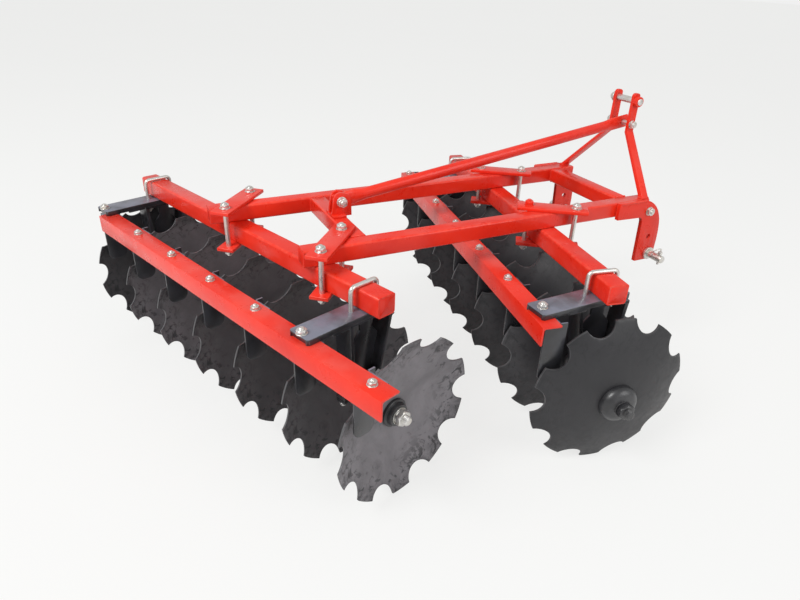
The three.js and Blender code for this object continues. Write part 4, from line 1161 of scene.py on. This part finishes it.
class HARROW_OT_clamps(bpy.types.Operator):
    """Makes the strap clamps where the rails cross the gang beams"""

    bl_idname = "harrow.clamps"
    bl_label = "Beam Clamps"

    def execute(self, context):
        s = sizes()
        top = RAIL_HIGH.z + SEAT
        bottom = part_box("front_gang_beam")[0].z - SEAT
        t, w = s.strap_thickness, s.strap_width
        for which, (half, degrees) in CLAMPS.items():
            for side in SIDES:
                node = f"{which}_clamp_{side}"
                low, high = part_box(node)
                place = Matrix.Translation(((low.x + high.x) / 2, (low.y + high.y) / 2, 0)) @ \
                    Matrix.Rotation(math.radians(degrees), 4, "Z")
                reach = half + 0.040
                upper = block("strap", (-reach, -w / 2, top), (reach, w / 2, top + t), 0.0022, 3)
                lower = block("strap", (-reach + 0.012, -w / 2 + 0.004, bottom - t),
                              (reach - 0.012, w / 2 - 0.004, bottom), 0.0022, 3)
                straps = joined(f"{which}_straps_{side}", [upper, lower])
                settled(straps, "frame", finish_of("red enamel"), place, [node])
                parts = []
                for x in (-half, half):
                    parts.append(rod("shank", (x, 0, bottom - t - 0.002), (x, 0, top + t + 0.002),
                                     BOLT_RADIUS, 24, 0))
                    nut = moved(stud_end("end", *CLAMP_HEAD),
                                Matrix.Translation((x, 0, top + t)))
                    if (which, side) == ("front", "right") and x < 0:
                        nut.name = "front_painted_nut"
                        settled(nut, "frame", finish_of("red enamel"), place, smooth=28)
                    else:
                        parts.append(nut)
                    parts.append(moved(stud_end("end", *CLAMP_TAIL),
                                       Matrix.Translation((x, 0, bottom - t)) @ UPSIDE_DOWN))
                bolts = joined(f"{which}_clamp_bolts_{side}", parts)
                settled(bolts, "frame", finish_of("zinc plate"), place, smooth=28)
        return {"FINISHED"}


# ---------- hitch and mast, in the drawing's own frame ----------
RAIL_FACE, PLATE = 0.0273, 0.015  # rail's outer face from its middle, and the plate's thickness
PLATE_OUTLINE = ((0.514, RAIL_TOP), (0.514, 0.595), (0.627, 0.591), (0.634, 0.585), (0.639, 0.573),
                 (0.647, 0.412), (0.735, 0.412), (0.737, 0.488), (0.735, 0.525), (0.731, 0.553),
                 (0.726, 0.573), (0.719, 0.590), (0.709, 0.609), (0.696, 0.625), (0.681, 0.638),
                 (0.664, 0.648), (0.640, RAIL_TOP))
PIN_AT = (0.706, 0.438)
PLATE_HOLES = ((*PIN_AT, 0.0145), (0.690, 0.507, 0.010))


class HARROW_OT_hitch(bpy.types.Operator):
    """Makes the lower hitch plates with their pins, linch pins and bolts"""

    bl_idname = "harrow.hitch"
    bl_label = "Lower Hitch"

    def execute(self, context):
        inner = RAIL_SPACING + RAIL_FACE
        outer = inner + PLATE
        px, pz = PIN_AT
        for side, way in (("right", -1), ("left", 1)):
            edge = outer if way < 0 else inner
            holes = [rod("hole", (x, way * 0.2, z), (x, way * 0.3, z), r, 32, edge=0)
                     for x, z, r in PLATE_HOLES]
            ear = plate(f"hitch_ear_{side}", [(x, way * edge, z) for x, z in PLATE_OUTLINE],
                        (0, PLATE, 0), 0.0018, 3, holes)
            settled(ear, "frame", finish_of("red enamel"), DRAWING,
                    [f"hitch_plate_{side}"])
            out = Matrix.Translation((px, way * outer, pz)) @ \
                (TO_Y if way > 0 else TO_RIGHT)
            shank = rod("shank", (0, 0, -0.041), (0, 0, 0.075), 0.014, 32, 0.0025)
            carved(shank, rod("bore", (0, -0.03, 0.059), (0, 0.03, 0.059), 0.005, 20, 0))
            rim = turned("collar", [(0, SEAT), (0.023, SEAT), (0.024, 0.0015), (0.024, 0.0085),
                                    (0.0225, 0.010), (0, 0.010)], 40)
            nut = moved(hexagon("nut", 0.038, 0.0165), Matrix.Translation((0, 0, -0.0335)))
            ring = washer("ring", 0.024, 0.0145, 0.002)
            moved(ring, Matrix.Translation((0, 0, -0.0175)))
            pin = joined(f"link_pin_{side}", [shank, rim, nut, ring])
            settled(pin, "frame", finish_of("zinc plate"), DRAWING @ out,
                    [f"hitch_pin_{side}"], 30)
            linch = linch_pin(f"linch_pin_{side}")
            at = Matrix.Translation((px, way * (outer + 0.059), pz)) @ \
                Matrix.Rotation(math.radians(90 if way < 0 else -90), 4, "Z")
            settled(linch, "frame", finish_of("zinc plate"), DRAWING @ at, smooth=40)
            bolt = stud_end(f"hitch_bolt_{side}", *HITCH_BOLT)
            spot = Matrix.Translation((0.663, way * outer, 0.612)) @ \
                (TO_Y if way > 0 else TO_RIGHT)
            settled(bolt, "frame", finish_of("zinc plate"), DRAWING @ spot, smooth=28)
            bead = [weld("weld", (0.518, way * (outer + 0.0005), RAIL_TOP - 0.001),
                         (0.635, way * (outer + 0.0005), RAIL_TOP - 0.001), 0.0032),
                    weld("weld", (0.516, way * (inner + 0.001), RAIL_UNDER),
                         (0.516, way * (inner + 0.001), 0.650), 0.0035)]
            settled(joined(f"hitch_welds_{side}", bead), "frame", finish_of("red enamel"),
                    DRAWING, smooth=60)
        return {"FINISHED"}


def linch_pin(name):
    """A linch pin through the hitch pin: a short shank, its head and a sprung wire ring."""
    shank = rod("shank", (0, 0, -0.024), (0, 0, 0.020), 0.0045, 16, 0.0012)
    head = rod("head", (0, 0, 0.018), (0, 0, 0.028), 0.008, 20, 0.002)
    clear()
    bpy.ops.mesh.primitive_torus_add(location=(0, 0, 0), major_radius=0.021, minor_radius=0.0019,
                                     major_segments=36, minor_segments=8)
    ring = taken("ring")
    pick(ring, "VERT", lambda v: v.co.x < -0.012)
    bpy.ops.transform.translate(value=(0.004, 0, 0))
    bpy.ops.object.mode_set(mode="OBJECT")
    moved(ring, Matrix.Translation((0.017, 0, 0.020)) @ Matrix.Rotation(math.radians(62), 4, "Y"))
    return joined(name, [shank, head, ring])


MAST_FOOT, MAST_HALF = 0.650, 0.015
FOOT_OUT = 0.012
LEAN = 0.24  # forward for each metre up
NECK, MAST_TOP, MAST_PIN_Z = 0.850, 0.992, 0.964
EAR, EAR_THICKNESS = 0.039, 0.012
BRACE_REAR, BRACE_FRONT_Z = (-0.454, 0.704), 0.880
LUG_REAR, LUG_FRONT, LUG_PLATE = -0.489, -0.443, 0.010
PIN_HOLE, BOLT_HOLE = 0.0127, 0.0097


def mast_x(z):
    """Middle of the mast's bars at a height: they lean forward up to the neck."""
    return MAST_FOOT + LEAN * (min(z, NECK) - RAIL_TOP)


class HARROW_OT_mast(bpy.types.Operator):
    """Makes the mast, its pin, the brace and the brace's lug"""

    bl_idname = "harrow.mast"
    bl_label = "Mast and Brace"

    def execute(self, context):
        red, zinc = finish_of("red enamel"), finish_of("zinc plate")
        t = EAR_THICKNESS
        out = RAIL_SPACING + FOOT_OUT - 0.8 * t
        foot = RAIL_TOP + SEAT
        for side, way in (("right", -1), ("left", 1)):
            bar = [(out, foot), (out + 1.6 * t, foot), (EAR + t, NECK + 0.004), (EAR, NECK)]
            slope = [(MAST_FOOT + LEAN * (z - RAIL_TOP) - MAST_HALF, way * y, z) for y, z in bar]
            neck = NECK - 0.002
            ear = [(EAR, neck), (EAR + t, neck), (EAR + t, MAST_TOP), (EAR, MAST_TOP)]
            upper = [(mast_x(NECK) - MAST_HALF, way * y, z) for y, z in ear]
            leg = plate("leg", slope, (2 * MAST_HALF, 0, 0), 0)
            carved(leg, plate("ear", upper, (2 * MAST_HALF, 0, 0), 0), "UNION")
            for z, r in ((MAST_PIN_Z, PIN_HOLE), (BRACE_FRONT_Z, BOLT_HOLE)):
                x = mast_x(z)
                carved(leg, rod("hole", (x, way * 0.02, z), (x, way * 0.07, z), r, 28, 0))
            pick(leg, "EDGE", lambda e: all(v.co.z > MAST_TOP - 0.001 for v in e.verts)
                 and abs(e.verts[0].co.y - e.verts[1].co.y) > 0.005)
            bpy.ops.mesh.bevel(offset=0.012, segments=6, affect="EDGES")
            bpy.ops.object.mode_set(mode="OBJECT")
            softened(leg, 0.0016, 3)
            leg.name = f"mast_bar_{side}"
            settled(leg, "frame", red, DRAWING, [f"mast_leg_{side}"])
            x0, x1 = MAST_FOOT - MAST_HALF, MAST_FOOT + MAST_HALF
            near, far, seam = way * out, way * (out + 1.6 * t), foot + 0.001
            beads = [weld("weld", (x0, y, seam), (x1, y, seam), 0.004) for y in (near, far)]
            beads += [weld("weld", (x, near, seam), (x, far, seam), 0.0035) for x in (x0, x1)]
            settled(joined(f"mast_welds_{side}", beads), "frame", red, DRAWING, smooth=60)
        x = mast_x(MAST_PIN_Z)
        shank = rod("shank", (x, -0.073, MAST_PIN_Z), (x, 0.073, MAST_PIN_Z), 0.012, 32, 0.002)
        head = rod("head", (x, 0.0513, MAST_PIN_Z), (x, 0.061, MAST_PIN_Z), 0.019, 32, 0.002)
        settled(joined("top_link_pin", [shank, head]), "frame", zinc, DRAWING, nodes=["mast_pin"])
        cap = turned("cap", [(0.0122, 0), (0.0175, 0), (0.0185, 0.001), (0.0185, 0.016),
                             (0.0165, 0.018), (0.0122, 0.018), (0.0122, 0)], 32)
        moved(cap, Matrix.Translation((x, -0.0515, MAST_PIN_Z)) @ TO_RIGHT)
        cap.name = "top_link_pin_sleeve"
        settled(cap, "frame", red, DRAWING)
        self.make_brace(red, zinc)
        return {"FINISHED"}

    def make_brace(self, red, zinc):
        """The brace pipe with flattened, drilled ends, its lug and both bolts."""
        start = Vector((BRACE_REAR[0], 0, BRACE_REAR[1]))
        end = Vector((mast_x(BRACE_FRONT_Z), 0, BRACE_FRONT_Z))
        length = (end - start).length
        slope = math.atan2(end.z - start.z, end.x - start.x)
        place = Matrix.Translation(start) @ Matrix.Rotation(-slope, 4, "Y")
        clear()
        bpy.ops.mesh.primitive_cylinder_add(vertices=32, radius=0.018, depth=length + 0.048,
                                            location=(length / 2, 0, 0), rotation=(0, math.pi / 2, 0))
        pipe = taken("mast_brace_pipe")
        bpy.ops.object.mode_set(mode="EDIT")
        for x in (-0.010, 0.014, 0.034, 0.052, 0.070, 0.088):
            for spot, way in ((x, 1), (length - x, 1)):
                bpy.ops.mesh.select_all(action="SELECT")
                bpy.ops.mesh.bisect(plane_co=(spot, 0, 0), plane_no=(way, 0, 0))
        bpy.ops.object.mode_set(mode="OBJECT")
        for low, high, flat in ((-1, 0.058, 0.43), (0.060, 0.075, 0.70), (0.080, 0.092, 0.92)):
            pick(pipe, "VERT", lambda v, a=low, b=high: a < min(v.co.x, length - v.co.x) < b)
            bpy.ops.transform.resize(value=(1, flat, 1 + 0.32 * (1 - flat) / 0.57),
                                     center_override=(length / 2, 0, 0))
        bpy.ops.object.mode_set(mode="OBJECT")
        for x in (0, length):
            carved(pipe, rod("hole", (x, -0.03, 0), (x, 0.03, 0), BOLT_HOLE, 24, 0))
        softened(pipe, 0.001, 2, 50)
        settled(pipe, "frame", red, DRAWING @ place, ["mast_brace"], 50)
        bx, bz = BRACE_REAR
        base = RAIL_TOP + SEAT
        inner = 0.0093
        outline = [(LUG_REAR, base), (bx + 0.034, base), (bx + 0.033, bz + 0.006),
                   (bx + 0.024, bz + 0.020), (bx + 0.010, bz + 0.029), (bx - 0.006, bz + 0.031),
                   (bx - 0.018, bz + 0.026), (bx - 0.026, bz + 0.014)]
        parts = []
        for y in (inner, -inner - LUG_PLATE):
            hole = rod("hole", (bx, y - 0.01, bz), (bx, y + 0.02, bz), BOLT_HOLE, 24, 0)
            shape = [(x, y, z) for x, z in outline]
            parts.append(plate("ear", shape, (0, LUG_PLATE, 0), 0.0014, 2, [hole]))
        parts.append(block("foot", (LUG_REAR, -0.035, base), (LUG_FRONT, 0.035, base + 0.008),
                           0.0014))
        settled(joined("brace_ears", parts), "frame", red, DRAWING, ["brace_lug"])
        for name, x, z, half in (("rear", bx, bz, inner + LUG_PLATE),
                                 ("front", mast_x(BRACE_FRONT_Z), BRACE_FRONT_Z, EAR + EAR_THICKNESS)):
            core = rod("shank", (x, -half - 0.002, z), (x, half + 0.002, z), 0.009, 28, 0)
            across = 0.028 if name == "rear" else 0.024
            ends = [moved(stud_end("end", across, 0.0125, 0.009, way_reach),
                          Matrix.Translation((x, way * half, z)) @
                          (TO_Y if way > 0 else TO_RIGHT))
                    for way, way_reach in ((1, 0.005), (-1, 0.004))]
            settled(joined(f"brace_pin_{name}", [core, *ends]), "frame", zinc, DRAWING,
                    [f"brace_bolt_{name}"], 28)


# ---------- studio ----------
WORLD_LIGHT, WORLD_GLOSS, WORLD_SEEN = 0.52, 0.62, 0.87  # on the pieces, in their gloss, by the camera
FLOOR_SIZE, FLOOR_DROP = 80, 0.0006
FLOOR_SHADE, FLOOR_GLOW, FLOOR_GLOW_SHARE = (0.86, 0.86, 0.85, 1), (0.945, 0.948, 0.938, 1), 0.78
LAMPS = {"key lamp": ((-4.6, -1.4, 5.6), 3.2, 335), "fill lamp": ((2.5, -5.0, 3.0), 3.5, 90)}
LAMP_TARGET = (0, 0, 0.3)
CAMERA_BACK, CAMERA_RIGHT, CAMERA_UP = 1.7845, 1.5605, 0.7788  # from the right rail's front end
CAMERA_TURN = (63.237, 28.785, 2.355)  # yaw, pitch down and roll in degrees
CAMERA_LENS, SENSOR_WIDTH = 27.57, 36
CLIP_NEAR, CLIP_FAR = 0.05, 200


def floor_paint():
    """Pale studio floor that keeps the object's shadow, and shows near white to the camera."""
    colours = bpy.context.scene.harrow_colours
    material = bpy.data.materials.new("studio floor")
    material.use_nodes = True
    tree = material.node_tree
    shader = tree.nodes["Principled BSDF"]
    place = tree.nodes.new("ShaderNodeTexCoord").outputs["Object"]
    patches = noise(tree, place, 0.35, 3.0)
    tree.links.new(mixed(tree, ranged(tree, patches, 0.3, 0.7), colours.floor, FLOOR_SHADE),
                   shader.inputs["Base Color"])
    shader.inputs["Roughness"].default_value = 0.9
    shader.inputs["Specular IOR Level"].default_value = 0.1
    glow = wired(tree, "ShaderNodeEmission", Color=FLOOR_GLOW, Strength=1.0)
    rays = tree.nodes.new("ShaderNodeLightPath").outputs["Is Camera Ray"]
    mix = tree.nodes.new("ShaderNodeMixShader")
    tree.links.new(maths(tree, "MULTIPLY", rays, FLOOR_GLOW_SHARE), mix.inputs[0])
    tree.links.new(shader.outputs[0], mix.inputs[1])
    tree.links.new(glow.outputs[0], mix.inputs[2])
    tree.links.new(mix.outputs[0], tree.nodes["Material Output"].inputs["Surface"])
    return material


def sky():
    """White surroundings: even light, and white in what the camera and glossy paint see."""
    world = bpy.data.worlds.new("studio")
    world.use_nodes = True
    tree = world.node_tree
    ground = tree.nodes["Background"]
    ground.inputs["Color"].default_value = (1, 1, 1, 1)
    paths = tree.nodes.new("ShaderNodeLightPath")
    seen = ranged(tree, paths.outputs["Is Glossy Ray"], 0.0, 1.0, WORLD_LIGHT, WORLD_GLOSS)
    strength = ranged(tree, paths.outputs["Is Camera Ray"], 0.0, 1.0, seen, WORLD_SEEN)
    tree.links.new(strength, ground.inputs["Strength"])
    bpy.context.scene.world = world


def lamp(name, place, size, power):
    """Hangs a round soft lamp that looks at the harrow."""
    clear()
    bpy.ops.object.light_add(type="AREA", location=place)
    made = bpy.context.object
    made.name = name
    made.data.shape = "DISK"
    made.data.size = size
    made.data.energy = power
    run = Vector(LAMP_TARGET) - Vector(place)
    made.rotation_euler = run.to_track_quat("-Z", "Y").to_euler()


class HARROW_OT_studio(bpy.types.Operator):
    """Lays the pale floor and sets the lamps and the camera"""

    bl_idname = "harrow.studio"
    bl_label = "Studio"

    def execute(self, context):
        clear()
        bpy.ops.mesh.primitive_grid_add(x_subdivisions=4, y_subdivisions=4, size=FLOOR_SIZE,
                                        location=(0, 0, -FLOOR_DROP))
        ground = taken("studio_floor")
        ground.data.materials.append(floor_paint())
        sky()
        for name, (place, size, power) in LAMPS.items():
            lamp(name, place, size, power)
        low, high = RAIL_LOW, RAIL_HIGH
        spot = Vector((high.x - CAMERA_BACK, (low.y + high.y) / 2 - CAMERA_RIGHT, low.z + CAMERA_UP))
        yaw, pitch, roll = (math.radians(angle) for angle in CAMERA_TURN)
        ahead = Vector((math.cos(pitch) * math.cos(yaw), math.cos(pitch) * math.sin(yaw),
                        -math.sin(pitch)))
        right = Vector((math.sin(yaw), -math.cos(yaw), 0))
        up = right.cross(ahead)
        across = math.cos(roll) * right + math.sin(roll) * up
        over = -math.sin(roll) * right + math.cos(roll) * up
        bpy.ops.object.camera_add()
        camera = bpy.context.object
        camera.name = "main camera"
        turn = Matrix((across, over, -ahead)).transposed().to_4x4()
        camera.matrix_world = Matrix.Translation(spot) @ turn
        camera.data.sensor_width = SENSOR_WIDTH
        camera.data.lens = CAMERA_LENS
        camera.data.clip_start = CLIP_NEAR
        camera.data.clip_end = CLIP_FAR
        context.scene.camera = camera
        context.scene.view_settings.view_transform = "Standard"
        return {"FINISHED"}


class HARROW_PT_panel(bpy.types.Panel):
    """Lists the harrow's pieces and sizes"""

    bl_idname = "HARROW_PT_panel"
    bl_label = "Disc Harrow"
    bl_space_type = "VIEW_3D"
    bl_region_type = "UI"
    bl_category = "Harrow"

    def draw(self, context):
        for step in STEPS:
            self.layout.operator(step.bl_idname)
        for group in (context.scene.harrow_sizes, context.scene.harrow_colours):
            for key in group.bl_rna.properties.keys():
                if key not in ("rna_type", "name"):
                    self.layout.prop(group, key)


STEPS = (HARROW_OT_studio, HARROW_OT_discs, HARROW_OT_shafts, HARROW_OT_end_washers, HARROW_OT_beams,
         HARROW_OT_scraper_bars, HARROW_OT_arms, HARROW_OT_hangers, HARROW_OT_u_bolts, HARROW_OT_rails,
         HARROW_OT_clamps, HARROW_OT_hitch, HARROW_OT_mast)
CLASSES = (HarrowSizes, HarrowColours, *STEPS, HARROW_PT_panel)


def register():
    for cls in CLASSES:
        bpy.utils.register_class(cls)
    bpy.types.Scene.harrow_sizes = PointerProperty(type=HarrowSizes)
    bpy.types.Scene.harrow_colours = PointerProperty(type=HarrowColours)


def unregister():
    del bpy.types.Scene.harrow_colours
    del bpy.types.Scene.harrow_sizes
    for cls in reversed(CLASSES):
        bpy.utils.unregister_class(cls)


def main():
    register()
    for step in STEPS:
        group, name = step.bl_idname.split(".")
        if getattr(getattr(bpy.ops, group), name)() != {"FINISHED"}:
            raise RuntimeError(step.bl_idname + " didn't finish")


if __name__ == "__main__":
    main()
